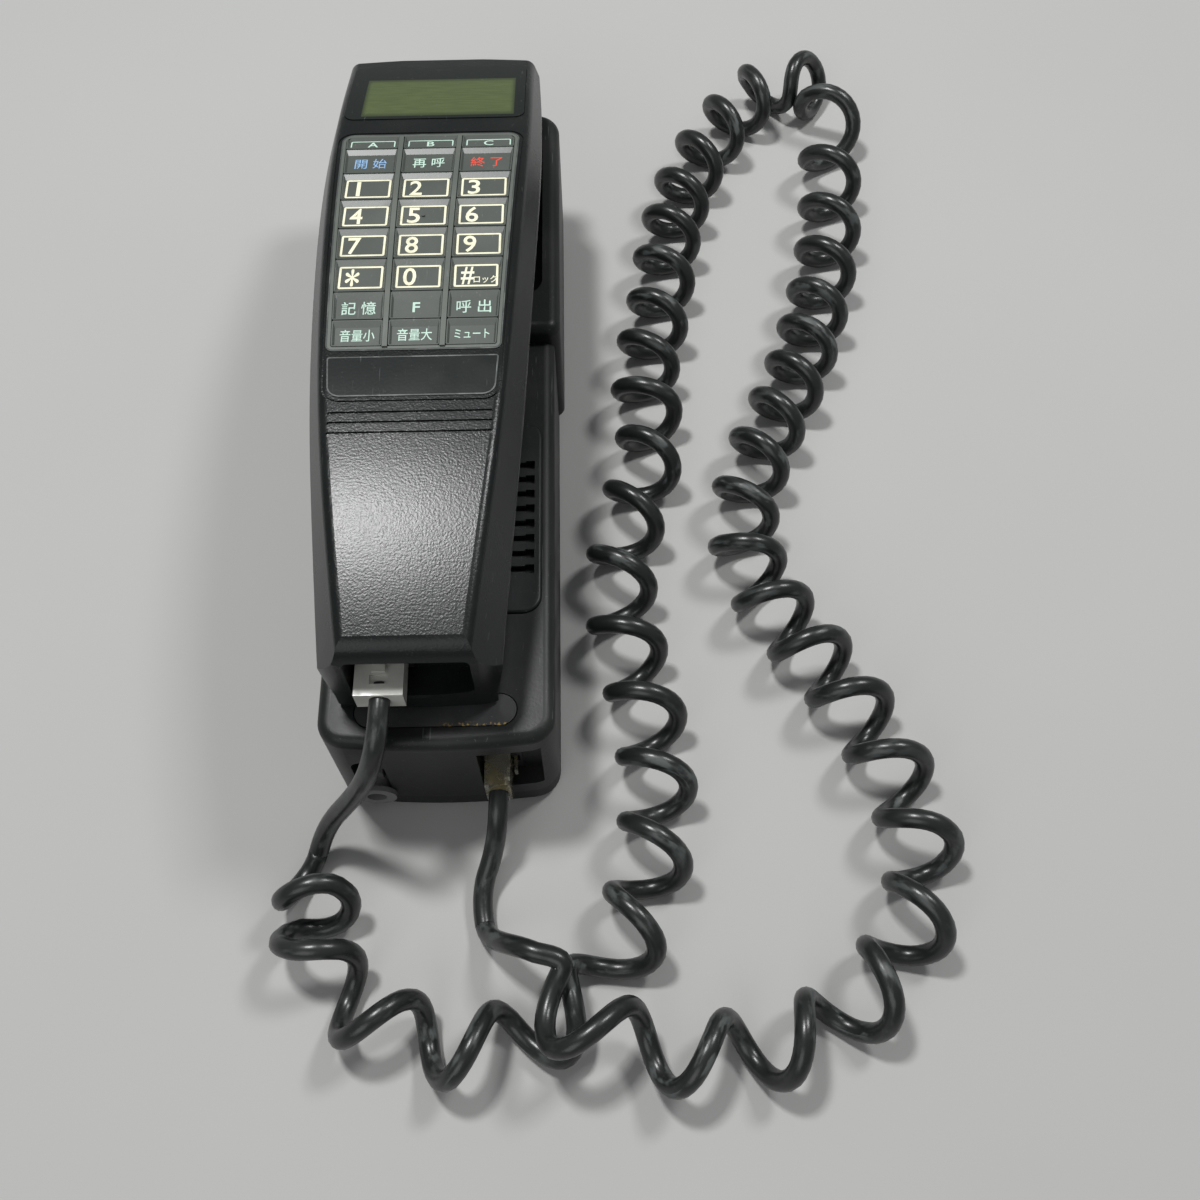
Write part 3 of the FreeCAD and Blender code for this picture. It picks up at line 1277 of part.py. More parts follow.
def arc_between(start, heading, end):
    """Arc from start, leaving along heading, to end."""
    chord = minus(end, start)
    length = size_of(chord)
    along = unit(chord)
    across = minus(heading, plus((0, 0, 0), along, dot(heading, along)))
    if size_of(across) < 1e-7:
        return Part.LineSegment(vec(*start), vec(*end)).toShape(), None
    half = math.acos(max(-1.0, min(1.0, dot(heading, along))))
    middle = plus(plus(start, chord, 0.5), unit(across), length / 2 * math.tan(half / 2))
    radius = length / 2 / math.sin(half)
    return Part.Arc(vec(*start), vec(*middle), vec(*end)).toShape(), radius


def biarc(first, last):
    """Two arcs that join two places and keep both headings."""
    start, leaving = first
    end, arriving = last
    chord = minus(end, start)
    both = plus(leaving, arriving)
    spread = 2 * (1 - dot(leaving, arriving))
    reach = size_of(chord) ** 2 / (2 * dot(chord, both))
    if spread > 1e-9:
        root = math.sqrt(dot(chord, both) ** 2 + spread * dot(chord, chord))
        reach = (root - dot(chord, both)) / spread
    middle = plus(plus(start, leaving, reach), plus(end, arriving, -reach))
    middle = plus((0, 0, 0), middle, 0.5)
    heading = unit(minus(middle, plus(start, leaving, reach)))
    one, radius_one = arc_between(start, leaving, middle)
    two, radius_two = arc_between(middle, heading, end)
    return [one, two], [radius_one, radius_two]


def least_gap(points):
    """Least free space between stretches of the curls that aren't neighbours."""
    travelled = [0.0]
    for a, b in zip(points, points[1:]):
        travelled.append(travelled[-1] + size_of(minus(b, a)))
    cells = {}
    cell = 12.0
    for index, point in enumerate(points):
        cells.setdefault(tuple(int(c // cell) for c in point), []).append(index)
    least = FAR
    for (a, b, c), members in cells.items():
        near = [j for i in (-1, 0, 1) for k in (-1, 0, 1) for m in (-1, 0, 1)
                for j in cells.get((a + i, b + k, c + m), ())]
        for one in members:
            for two in near:
                if travelled[two] - travelled[one] > 3.0 * CURL_R:
                    least = min(least, size_of(minus(points[one], points[two])))
    return least - 2 * CORD_R


def tube_along(edges, start, heading):
    path = Part.Wire(edges)
    circle = Part.Wire(Part.makeCircle(CORD_R, vec(*start), vec(*heading)))
    return path.makePipeShell([circle], True, False)


def cord_curls():
    nodes = curl_nodes()
    edges = []
    radii = []
    for first, last in zip(nodes, nodes[1:]):
        arcs, sizes = biarc(first, last)
        edges += arcs
        radii += [size for size in sizes if size]
    lead_in = plus(nodes[0][0], nodes[0][1], -2 * CORD_R)
    lead_out = plus(nodes[-1][0], nodes[-1][1], 2 * CORD_R)
    edges.insert(0, Part.LineSegment(vec(*lead_in), vec(*nodes[0][0])).toShape())
    edges.append(Part.LineSegment(vec(*nodes[-1][0]), vec(*lead_out)).toShape())
    tube = tube_along(edges, lead_in, nodes[0][1])
    points = []
    for edge in edges:
        steps = max(2, int(edge.Length / 0.5))
        for step in range(steps):
            spot = edge.valueAt(edge.FirstParameter
                                + (edge.LastParameter - edge.FirstParameter) * step / steps)
            points.append((spot.x, spot.y, spot.z))
    length = sum(edge.Length for edge in edges)
    print("curls", round(CURL_ROUTE[-1][4] - CURL_ROUTE[0][4], 1), "length", round(length, 1),
          "volume share", round(tube.Volume / (math.pi * CORD_R ** 2 * length), 4),
          "tightest radius", round(min(radii), 2), "least gap", round(least_gap(points), 2))
    return tube, lead_in, lead_out, nodes


def cord_lead(points, name):
    """Stretch of cord that isn't curled: straight runs joined by tangent arcs."""
    pieces, _ = rounded_route(points)
    edges = []
    radii = []
    for piece in pieces:
        start = piece["start"]
        if piece["length"] < 1e-6:
            continue
        middle, _ = along_piece(piece, piece["length"] / 2)
        end, _ = along_piece(piece, piece["length"])
        if piece["radius"] is None:
            edges.append(Part.LineSegment(vec(*start), vec(*end)).toShape())
        else:
            edges.append(Part.Arc(vec(*start), vec(*middle), vec(*end)).toShape())
            radii.append(round(piece["radius"], 1))
    tube = tube_along(edges, points[0], pieces[0]["heading"])
    length = sum(edge.Length for edge in edges)
    print(name, "length", round(length, 1), "radii", radii,
          "volume share", round(tube.Volume / (math.pi * CORD_R ** 2 * length), 4))
    return tube


def handset_parts():
    outer = handset_form(0.0)
    inner = handset_form(WALL)
    middle = handset_form(WALL / 2)
    room = handset_form(WALL + SEAT_GAP)
    upper = above_parting()
    parts = {
        "handset_top_shell": handset_top_shell(outer, inner, middle, upper),
        "handset_bottom_shell": handset_bottom_shell(outer, inner, middle, upper),
        "display_window": display_window(),
        "lcd_module": lcd_module(),
        "keypad_mat": keypad_mat(room),
        "badge_plate": badge_plate(),
        "key_contact_sheet": key_contact_sheet(room),
        "handset_circuit_board": handset_circuit_board(),
        "earpiece_receiver": capsule(0.0, EARPIECE_Y, EAR_Z + WALL, EARPIECE_R, EARPIECE_DEPTH),
        "microphone": capsule(0.0, MOUTHPIECE_Y, MOUTH_Z + WALL, MOUTHPIECE_R, MOUTHPIECE_DEPTH),
        "handset_screws": handset_screws(),
    }
    for row, names in enumerate(KEY_NAMES):
        for column, name in enumerate(names):
            parts["key_" + name] = key(row, column)
    placed = {name: in_handset(shape) for name, shape in parts.items()}
    placed["handset_jack"] = at_handset_end(socket(PLUG_STANDOFF_HANDSET + RECESS_DEPTH))
    return placed


def cradle_parts():
    return {
        "cradle_shell": cradle_shell(),
        "cradle_base_plate": cradle_base_plate(),
        "grille_panel": grille_panel(),
        "deck_cover_plate": deck_cover_plate(),
        "cradle_speaker": cradle_speaker(),
        "cradle_circuit_board": cradle_circuit_board(),
        "cradle_jack": in_cradle(turned_for_cradle(socket(PLUG_STANDOFF + POCKET_DEPTH))),
        "cradle_screws": cradle_screws(),
        "rubber_feet": rubber_feet(),
        "mounting_inserts": mounting_inserts(),
        "cable_gland": cable_gland(),
        "hook_plunger": hook_plunger(),
        "hook_switch": hook_switch(),
    }


def cord_parts():
    curls, lead_in, lead_out, nodes = cord_curls()
    first = nodes[0][1]
    last = nodes[-1][1]
    handset_route = list(HANDSET_LEAD) + [plus(lead_in, first, -LEAD_RUN), lead_in]
    cradle_route = [lead_out, plus(lead_out, last, LEAD_RUN)] + list(CRADLE_LEAD)
    return {
        "handset_plug": at_handset_end(plug()),
        "handset_plug_contacts": at_handset_end(plug_contacts()),
        "cradle_plug": in_cradle(turned_for_cradle(plug())),
        "cradle_plug_contacts": in_cradle(turned_for_cradle(plug_contacts())),
        "cord_handset_lead": cord_lead(handset_route, "cord_handset_lead"),
        "cord_curls": curls,
        "cord_cradle_lead": cord_lead(cradle_route, "cord_cradle_lead"),
    }


def main():
    os.makedirs("parts", exist_ok=True)
    parts = {}
    parts.update(cradle_parts())
    parts.update(handset_parts())
    parts.update(cord_parts())
    for name, shape in parts.items():
        bounds = shape.BoundBox
        print(name, len(shape.Solids), "solids", "valid" if shape.isValid() else "INVALID",
              [round(v, 2) for v in (bounds.XMin, bounds.XMax, bounds.YMin, bounds.YMax,
                                     bounds.ZMin, bounds.ZMax)], round(shape.Volume, 1))
        shape.exportStep("parts/" + name + ".step")
    print(len(parts), "nodes")


if __name__ == "__main__":
    main()
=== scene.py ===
"""Looks of a car telephone handset lying in its cradle, with its long curly cord."""
import logging
import math
from dataclasses import dataclass, field
from enum import Enum
from itertools import accumulate

import bmesh
import bpy
from mathutils import Matrix, Vector


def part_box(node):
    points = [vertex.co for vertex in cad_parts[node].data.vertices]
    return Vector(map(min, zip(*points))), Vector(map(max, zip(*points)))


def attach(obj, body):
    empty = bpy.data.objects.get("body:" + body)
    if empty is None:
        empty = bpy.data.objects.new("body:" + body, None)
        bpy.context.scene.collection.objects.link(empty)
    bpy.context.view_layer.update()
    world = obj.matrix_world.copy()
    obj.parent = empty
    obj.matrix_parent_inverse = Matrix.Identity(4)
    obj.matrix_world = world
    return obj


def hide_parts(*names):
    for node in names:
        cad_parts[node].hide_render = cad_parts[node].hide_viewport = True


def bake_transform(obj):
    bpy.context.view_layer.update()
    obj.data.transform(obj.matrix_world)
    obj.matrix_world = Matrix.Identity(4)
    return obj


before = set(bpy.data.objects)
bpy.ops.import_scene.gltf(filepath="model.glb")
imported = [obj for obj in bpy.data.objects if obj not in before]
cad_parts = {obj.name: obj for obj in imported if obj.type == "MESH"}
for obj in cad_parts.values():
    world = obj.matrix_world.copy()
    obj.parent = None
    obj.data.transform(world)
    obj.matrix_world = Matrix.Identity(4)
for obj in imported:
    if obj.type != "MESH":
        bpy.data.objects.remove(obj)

logging.basicConfig(level=logging.INFO, format="%(levelname)s %(message)s")
log = logging.getLogger("handset")

Colour = tuple[float, float, float]
Point = tuple[float, float, float]
Limits = tuple[float, float]
Node = bpy.types.Node
Socket = bpy.types.NodeSocket
Sockets = bpy.types.bpy_prop_collection
Tree = bpy.types.NodeTree
Material = bpy.types.Material
Piece = bpy.types.Object


class Tone(Enum):
    """Colours that the printed legends come in."""

    CREAM = (0.80, 0.78, 0.58)
    PALE_GREEN = (0.50, 0.68, 0.58)
    BLUE = (0.24, 0.40, 0.62)
    RED = (0.72, 0.07, 0.04)


class Layout(Enum):
    """Ways a legend is set on its key."""

    DIGIT = "bold figure at the left in a full frame"
    OPEN_FRAME = "letter in the middle of a frame that is open below"
    BARE = "word in the middle with no frame"


def deselect_all() -> None:
    if bpy.context.object is not None and bpy.context.object.mode != "OBJECT":
        bpy.ops.object.mode_set(mode="OBJECT")
    bpy.ops.object.select_all(action="DESELECT")


def pick(obj: Piece) -> None:
    """Make one object the active and only selected one."""
    deselect_all()
    bpy.context.view_layer.objects.active = obj
    obj.select_set(True)


def settle(obj: Piece, matrix: Matrix) -> None:
    """Move an object by a matrix and put that place into its mesh."""
    obj.matrix_world = matrix @ obj.matrix_world
    pick(obj)
    bpy.ops.object.transform_apply(location=True, rotation=True, scale=True)


def edit_all() -> None:
    """Enter edit mode with the whole mesh selected."""
    bpy.ops.object.mode_set(mode="EDIT")
    bpy.ops.mesh.select_all(action="SELECT")


def edit_only(kind: str, parts: dict[int, bool]) -> None:
    """Enter edit mode with only the wanted parts selected, where kind is VERT or FACE."""
    bpy.ops.object.mode_set(mode="EDIT")
    bpy.ops.mesh.select_mode(type=kind)
    bpy.ops.mesh.select_all(action="DESELECT")
    bpy.ops.object.mode_set(mode="OBJECT")
    mesh = bpy.context.object.data
    members = mesh.vertices if kind == "VERT" else mesh.polygons
    for index, wanted in parts.items():
        members[index].select = wanted
    bpy.ops.object.mode_set(mode="EDIT")


def linked(name: str, data: bpy.types.ID) -> Piece:
    """New object of the scene around some data."""
    obj = bpy.data.objects.new(name, data)
    bpy.context.collection.objects.link(obj)
    return obj


def join(objects: list[Piece], name: str) -> Piece:
    """Join several meshes into one named piece.

    Args:
        objects: the meshes, the first of which takes the others in.
        name: name of the piece.

    Returns:
        The joined object.
    """
    pick(objects[0])
    for obj in objects[1:]:
        obj.select_set(True)
    if len(objects) > 1:
        bpy.ops.object.join()
    objects[0].name = name
    objects[0].data.name = name
    return objects[0]


def new_group(name: str, inputs: dict[str, float], outputs: tuple[str, ...]
              ) -> tuple[Tree, Node, Node]:
    """Start a shader node group.

    Args:
        name: name of the group.
        inputs: number sockets and their first values.
        outputs: names of the number sockets that it gives.

    Returns:
        The group, its input node and its output node.
    """
    group = bpy.data.node_groups.new(name, "ShaderNodeTree")
    kind = "NodeSocketFloat"
    for socket, value in inputs.items():
        item = group.interface.new_socket(socket, in_out="INPUT", socket_type=kind)
        item.default_value = value
    for socket in outputs:
        group.interface.new_socket(socket, in_out="OUTPUT", socket_type=kind)
    return group, group.nodes.new("NodeGroupInput"), group.nodes.new("NodeGroupOutput")


def feed(tree: Tree, target: Socket, value: Socket | float | Colour) -> None:
    """Give a socket a number, a colour or another node's result."""
    if isinstance(value, Socket):
        tree.links.new(value, target)
    elif isinstance(value, tuple):
        target.default_value = (*value, 1.0)
    else:
        target.default_value = value


def band(tree: Tree, value: Socket, low: float, high: float, to_low: float = 0.0,
         to_high: float = 1.0) -> Socket:
    """Smooth ramp of a value between two limits."""
    node = tree.nodes.new("ShaderNodeMapRange")
    node.interpolation_type = "SMOOTHSTEP"
    tree.links.new(value, node.inputs["Value"])
    node.inputs["From Min"].default_value = low
    node.inputs["From Max"].default_value = high
    node.inputs["To Min"].default_value = to_low
    node.inputs["To Max"].default_value = to_high
    return node.outputs["Result"]


def own_place(tree: Tree) -> Socket:
    """The object's own coordinates, in metres."""
    return tree.nodes.new("ShaderNodeTexCoord").outputs["Object"]


def axes_of(tree: Tree, vector: Socket) -> Sockets:
    """X, Y and Z of a vector as sockets."""
    node = tree.nodes.new("ShaderNodeSeparateXYZ")
    tree.links.new(vector, node.inputs["Vector"])
    return node.outputs


def stretched(tree: Tree, vector: Socket, scale: Point, rotation: Point = (0.0, 0.0, 0.0)
              ) -> Socket:
    """Coordinates turned and scaled, so that noise over them runs in streaks."""
    node = tree.nodes.new("ShaderNodeMapping")
    node.inputs["Rotation"].default_value = rotation
    node.inputs["Scale"].default_value = scale
    tree.links.new(vector, node.inputs["Vector"])
    return node.outputs["Vector"]


def noise(tree: Tree, vector: Socket, scale: Socket | float, detail: float) -> Socket:
    """Noise over some coordinates."""
    node = tree.nodes.new("ShaderNodeTexNoise")
    feed(tree, node.inputs["Scale"], scale)
    node.inputs["Detail"].default_value = detail
    tree.links.new(vector, node.inputs["Vector"])
    return node.outputs["Fac"]


def math_of(tree: Tree, operation: str, first: Socket, second: Socket | float) -> Socket:
    """Result of one math node, kept between 0 and 1."""
    node = tree.nodes.new("ShaderNodeMath")
    node.operation = operation
    node.use_clamp = True
    tree.links.new(first, node.inputs[0])
    feed(tree, node.inputs[1], second)
    return node.outputs["Value"]


def mixed(tree: Tree, mask: Socket, under: Socket | Colour, over: Socket | Colour) -> Socket:
    """Colour that turns from one to another where a mask is white."""
    node = tree.nodes.new("ShaderNodeMix")
    node.data_type = "RGBA"
    tree.links.new(mask, node.inputs["Factor"])
    feed(tree, node.inputs["A"], under)
    feed(tree, node.inputs["B"], over)
    return node.outputs["Result"]


def dimmed(colour: Colour, share: float) -> Colour:
    """Colour made darker, or lighter by a share above 1."""
    return tuple(part * share for part in colour)


def grain_group() -> Tree:
    """Fine moulded texture of the plastic, as a height."""
    group, start, end = new_group("moulded_grain", {"Scale": 2200.0}, ("Height",))
    fine = noise(group, own_place(group), start.outputs["Scale"], 2.0)
    group.links.new(fine, end.inputs["Height"])
    return group


def wear_group() -> Tree:
    """Dull patches and fine scratches left by handling."""
    patch_edges = (0.45, 0.72)
    scratch_edges = (0.73, 0.78)
    streak = (1.0, 0.05, 1.0)
    turns_and_scales = ((0.55, 1500.0), (-0.35, 1900.0))
    group, start, end = new_group("handling_wear", {"Scale": 40.0, "Amount": 0.5},
                                  ("Patches", "Scratches"))
    place = own_place(group)
    patches = band(group, noise(group, place, start.outputs["Scale"], 5.0), *patch_edges)
    lines = []
    for turn, scale in turns_and_scales:
        along = stretched(group, place, streak, (0.1, 0.2, turn))
        lines.append(band(group, noise(group, along, scale, 1.0), *scratch_edges))
    scratches = math_of(group, "MAXIMUM", lines[0], lines[1])
    for name, mask in (("Patches", patches), ("Scratches", scratches)):
        group.links.new(math_of(group, "MULTIPLY", mask, start.outputs["Amount"]),
                        end.inputs[name])
    return group


def dust_group() -> Tree:
    """Specks and films of dust on what faces up."""
    film_share = 0.35
    group, start, end = new_group("settled_dust", {"Amount": 0.3}, ("Mask",))
    place = own_place(group)
    facing = group.nodes.new("ShaderNodeNewGeometry").outputs["Normal"]
    up = band(group, axes_of(group, facing)["Z"], 0.2, 0.95)
    film = band(group, noise(group, place, 55.0, 6.0), 0.4, 0.75)
    specks = band(group, noise(group, place, 1500.0, 1.0), 0.7, 0.8)
    mask = math_of(group, "ADD", math_of(group, "MULTIPLY", film, film_share), specks)
    mask = math_of(group, "MULTIPLY", mask, up)
    group.links.new(math_of(group, "MULTIPLY", mask, start.outputs["Amount"]),
                    end.inputs["Mask"])
    return group


@dataclass
class SharedEffects:
    """Node groups that several finishes place."""

    grain: Tree = field(default_factory=grain_group)
    wear: Tree = field(default_factory=wear_group)
    dust: Tree = field(default_factory=dust_group)

    def place(self, tree: Tree, group: Tree, values: dict[str, float]) -> Node:
        """Place one group in a material with its own values."""
        node = tree.nodes.new("ShaderNodeGroup")
        node.node_tree = group
        for socket, value in values.items():
            node.inputs[socket].default_value = value
        return node

    def handled(self, tree: Tree, scale: float, amount: float) -> Sockets:
        """Masks of the wear left by handling."""
        return self.place(tree, self.wear, {"Scale": scale, "Amount": amount}).outputs

    def dusted(self, tree: Tree, amount: float, colour: Socket, dusty: Colour) -> Socket:
        """Colour with dust settled on it."""
        dust = self.place(tree, self.dust, {"Amount": amount})
        return mixed(tree, dust.outputs["Mask"], colour, dusty)

    def emboss(self, tree: Tree, sockets: Sockets, scale: float, strength: float, depth: float
               ) -> None:
        """Raise the moulded grain on a shader."""
        grain = self.place(tree, self.grain, {"Scale": scale})
        bump = tree.nodes.new("ShaderNodeBump")
        bump.inputs["Strength"].default_value = strength
        bump.inputs["Distance"].default_value = depth
        tree.links.new(grain.outputs["Height"], bump.inputs["Height"])
        tree.links.new(bump.outputs["Normal"], sockets["Normal"])


def start_material(name: str) -> tuple[Material, Tree, Sockets]:
    """New node material, its tree and the sockets of its shader."""
    material = bpy.data.materials.new(name)
    material.use_nodes = True
    tree = material.node_tree
    return material, tree, tree.nodes["Principled BSDF"].inputs


def dull(tree: Tree, sockets: Sockets, wear: Sockets, fresh: float, worn: float) -> None:
    """Roughen a shader where the handling shows."""
    full_wear = 0.6
    tree.links.new(band(tree, wear["Patches"], 0.0, full_wear, fresh, worn),
                   sockets["Roughness"])


@dataclass(frozen=True)
class Moulded:
    """Moulded plastic or rubber with a fine grain, wear and dust."""

    name: str
    colour: Colour
    roughness: float = 0.4
    worn: Colour = (0.09, 0.10, 0.10)
    scratched: Colour = (0.20, 0.21, 0.21)
    dusty: Colour = (0.42, 0.42, 0.38)
    wear: float = 0.35
    wear_scale: float = 45.0
    dulling: float = 0.16
    dust: float = 0.12
    grain_scale: float = 1300.0
    grain_depth: float = 0.00005
    grain_strength: float = 0.7
    specular: float = 0.3

    def build(self, effects: SharedEffects) -> Material:
        """Make the material.

        Args:
            effects: node groups shared by the finishes.

        Returns:
            The material.
        """
        material, tree, sockets = start_material(self.name)
        wear = effects.handled(tree, self.wear_scale, self.wear)
        colour = mixed(tree, wear["Patches"], self.colour, self.worn)
        colour = mixed(tree, wear["Scratches"], colour, self.scratched)
        tree.links.new(effects.dusted(tree, self.dust, colour, self.dusty),
                       sockets["Base Color"])
        dull(tree, sockets, wear, self.roughness, min(1.0, self.roughness + self.dulling))
        effects.emboss(tree, sockets, self.grain_scale, self.grain_strength, self.grain_depth)
        sockets["Specular IOR Level"].default_value = self.specular
        return material


@dataclass(frozen=True)
class Scuffed:
    """Black rubber of the cord, scuffed grey in patches along it."""

    name: str
    colour: Colour = (0.011, 0.013, 0.012)
    scuffed: Colour = (0.075, 0.085, 0.083)
    dusty: Colour = (0.24, 0.25, 0.23)
    dust: float = 0.08
    stretch: Point = (0.45, 1.0, 1.0)
    roughness: Limits = (0.30, 0.60)
    grain_scale: float = 1500.0
    grain_strength: float = 0.35
    grain_depth: float = 0.00006

    def build(self, effects: SharedEffects) -> Material:
        """Make the material."""
        material, tree, sockets = start_material(self.name)
        spread = tree.nodes.new("ShaderNodeUVMap")
        spread.uv_map = "wire"
        along = stretched(tree, spread.outputs["UV"], self.stretch)
        patch = band(tree, noise(tree, along, 330.0, 6.0), 0.50, 0.66)
        broad = band(tree, noise(tree, along, 45.0, 2.0), 0.35, 0.62)
        mask = math_of(tree, "MULTIPLY", patch, broad)
        colour = mixed(tree, mask, self.colour, self.scuffed)
        tree.links.new(effects.dusted(tree, self.dust, colour, self.dusty),
                       sockets["Base Color"])
        tree.links.new(band(tree, mask, 0.0, 1.0, *self.roughness), sockets["Roughness"])
        effects.emboss(tree, sockets, self.grain_scale, self.grain_strength, self.grain_depth)
        return material


@dataclass(frozen=True)
class Metal:
    """Bare or plated metal, duller in patches."""

    name: str
    colour: Colour
    roughness: float = 0.3
    wear: float = 0.5
    wear_scale: float = 120.0
    worn_share: float = 0.6
    dulling: float = 0.2

    def build(self, effects: SharedEffects) -> Material:
        """Make the material."""
        material, tree, sockets = start_material(self.name)
        wear = effects.handled(tree, self.wear_scale, self.wear)
        tree.links.new(mixed(tree, wear["Patches"], self.colour,
                             dimmed(self.colour, self.worn_share)), sockets["Base Color"])
        sockets["Metallic"].default_value = 1.0
        dull(tree, sockets, wear, self.roughness, self.roughness + self.dulling)
        return material


@dataclass(frozen=True)
class Clear:
    """Clear moulded plastic, yellowed in places."""

    name: str
    colour: Colour = (0.90, 0.90, 0.84)
    tinge: Colour = (0.80, 0.66, 0.30)
    tinge_amount: float = 0.5
    tinge_scale: float = 160.0
    roughness: Limits = (0.06, 0.28)
    clearness: float = 0.86
    refraction: float = 1.5

    def build(self, effects: SharedEffects) -> Material:
        """Make the material."""
        material, tree, sockets = start_material(self.name)
        wear = effects.handled(tree, self.tinge_scale, self.tinge_amount)
        tree.links.new(mixed(tree, wear["Patches"], self.colour, self.tinge),
                       sockets["Base Color"])
        dull(tree, sockets, wear, *self.roughness)
        sockets["Transmission Weight"].default_value = self.clearness
        sockets["IOR"].default_value = self.refraction
        return material


@dataclass(frozen=True)
class Display:
    """Glossy black window with the reflective display showing through, and painted shade along
    the display's edges.
    """

    name: str
    low: Point
    high: Point
    margin: float = 0.0024
    skew: float = 0.0009
    crisp: Limits = (0.00025, 0.00025)
    painted_shade_widths: Limits = (0.0016, 0.0026)
    glass: Colour = (0.006, 0.009, 0.007)
    display: Colour = (0.066, 0.088, 0.033)
    painted_edge_shade: Colour = (0.034, 0.046, 0.018)
    scratched: Colour = (0.10, 0.12, 0.10)
    streak: Point = (0.12, 1.0, 1.0)
    streak_gain: float = 1.22
    roughness: Limits = (0.12, 0.24)

    def lit_field(self, tree: Tree, place: Socket, soft: Limits) -> Socket:
        """Mask of the display, with the softness of its edges in x and in y."""
        axes = axes_of(tree, place)
        masks = []
        for axis, shift in enumerate((self.skew, 0.0)):
            low = self.low[axis] + self.margin + shift
            high = self.high[axis] - self.margin + shift
            rising = band(tree, axes[axis], low, low + soft[axis])
            falling = band(tree, axes[axis], high - soft[axis], high, 1.0, 0.0)
            masks.append(math_of(tree, "MULTIPLY", rising, falling))
        return math_of(tree, "MULTIPLY", *masks)

    def build(self, effects: SharedEffects) -> Material:
        """Make the material."""
        material, tree, sockets = start_material(self.name)
        place = own_place(tree)
        streaks = noise(tree, stretched(tree, place, self.streak), 1400.0, 2.0)
        lit = mixed(tree, band(tree, streaks, 0.3, 0.75), self.display,
                    dimmed(self.display, self.streak_gain))
        # painted shade: the display darkens in a soft band along its edges, standing in for the
        # shadow of the window's recess
        lit = mixed(tree, self.lit_field(tree, place, self.painted_shade_widths), self.painted_edge_shade, lit)
        colour = mixed(tree, self.lit_field(tree, place, self.crisp), self.glass, lit)
        wear = effects.handled(tree, 30.0, 0.4)
        tree.links.new(mixed(tree, wear["Scratches"], colour, self.scratched),
                       sockets["Base Color"])
        dull(tree, sockets, wear, *self.roughness)
        return material


@dataclass(frozen=True)
class Ink:
    """Printed ink of a legend, a little uneven."""

    name: str
    colour: Colour
    worn_share: float = 0.62
    roughness: float = 0.6

    def build(self, effects: SharedEffects) -> Material:
        """Make the material."""
        material, tree, sockets = start_material(self.name)
        wear = effects.handled(tree, 300.0, 0.45)
        tree.links.new(mixed(tree, wear["Patches"], self.colour,
                             dimmed(self.colour, self.worn_share)), sockets["Base Color"])
        sockets["Roughness"].default_value = self.roughness
        return material


@dataclass(frozen=True)
class Residue:
    """Cover plate with crumbs of old glue along its near edge."""

    name: str
    middle: Point
    colour: Colour = (0.030, 0.031, 0.032)
    worn: Colour = (0.07, 0.075, 0.075)
    dusty: Colour = (0.40, 0.40, 0.36)
    glue: Colour = (0.42, 0.30, 0.10)
    glue_y: Limits = (-0.0041, -0.0028)
    glue_x: Limits = (-0.002, 0.006)
    roughness: Limits = (0.46, 0.25)

    def build(self, effects: SharedEffects) -> Material:
        """Make the material."""
        material, tree, sockets = start_material(self.name)
        place = own_place(tree)
        axes = axes_of(tree, place)
        near = band(tree, axes["Y"], self.middle[1] + self.glue_y[0],
                    self.middle[1] + self.glue_y[1], 1.0, 0.0)
        right = band(tree, axes["X"], self.middle[0] + self.glue_x[0],
                     self.middle[0] + self.glue_x[1])
        crumbs = band(tree, noise(tree, place, 1300.0, 3.0), 0.52, 0.62)
        glue = math_of(tree, "MULTIPLY", math_of(tree, "MULTIPLY", near, crumbs), right)
        wear = effects.handled(tree, 70.0, 0.4)
        colour = mixed(tree, wear["Patches"], self.colour, self.worn)
        colour = effects.dusted(tree, 0.2, colour, self.dusty)
        tree.links.new(mixed(tree, glue, colour, self.glue), sockets["Base Color"])
        tree.links.new(band(tree, glue, 0.0, 1.0, *self.roughness), sockets["Roughness"])
        return material


@dataclass
class FaceArch:
    """Arched face of the handset, and places on it in metres."""

    radius: float = 0.370
    top_y: float = -0.0196
    top_z: float = 0.083
    middle_x: float = -0.002215

    def frame_at(self, x: float, along: float, rise: float = 0.0) -> Matrix:
        """Frame that lies flat on the face.

        Args:
            x: sideways from the handset's middle.
            along: along the arch from its top.
            rise: above the face.

        Returns:
            The matrix from the flat frame to the face.
        """
        angle = along / self.radius
        reach = self.radius + rise
        place = Vector((self.middle_x + x, self.top_y + reach * math.sin(angle),
                        self.top_z - self.radius + reach * math.cos(angle)))
        return Matrix.Translation(place) @ Matrix.Rotation(-angle, 4, "X")


@dataclass(frozen=True)
class KeyLegend:
    """What is printed on one key."""

    key: str
    words: str
    height: float
    tone: Tone = Tone.PALE_GREEN
    layout: Layout = Layout.BARE
    extra: str = ""


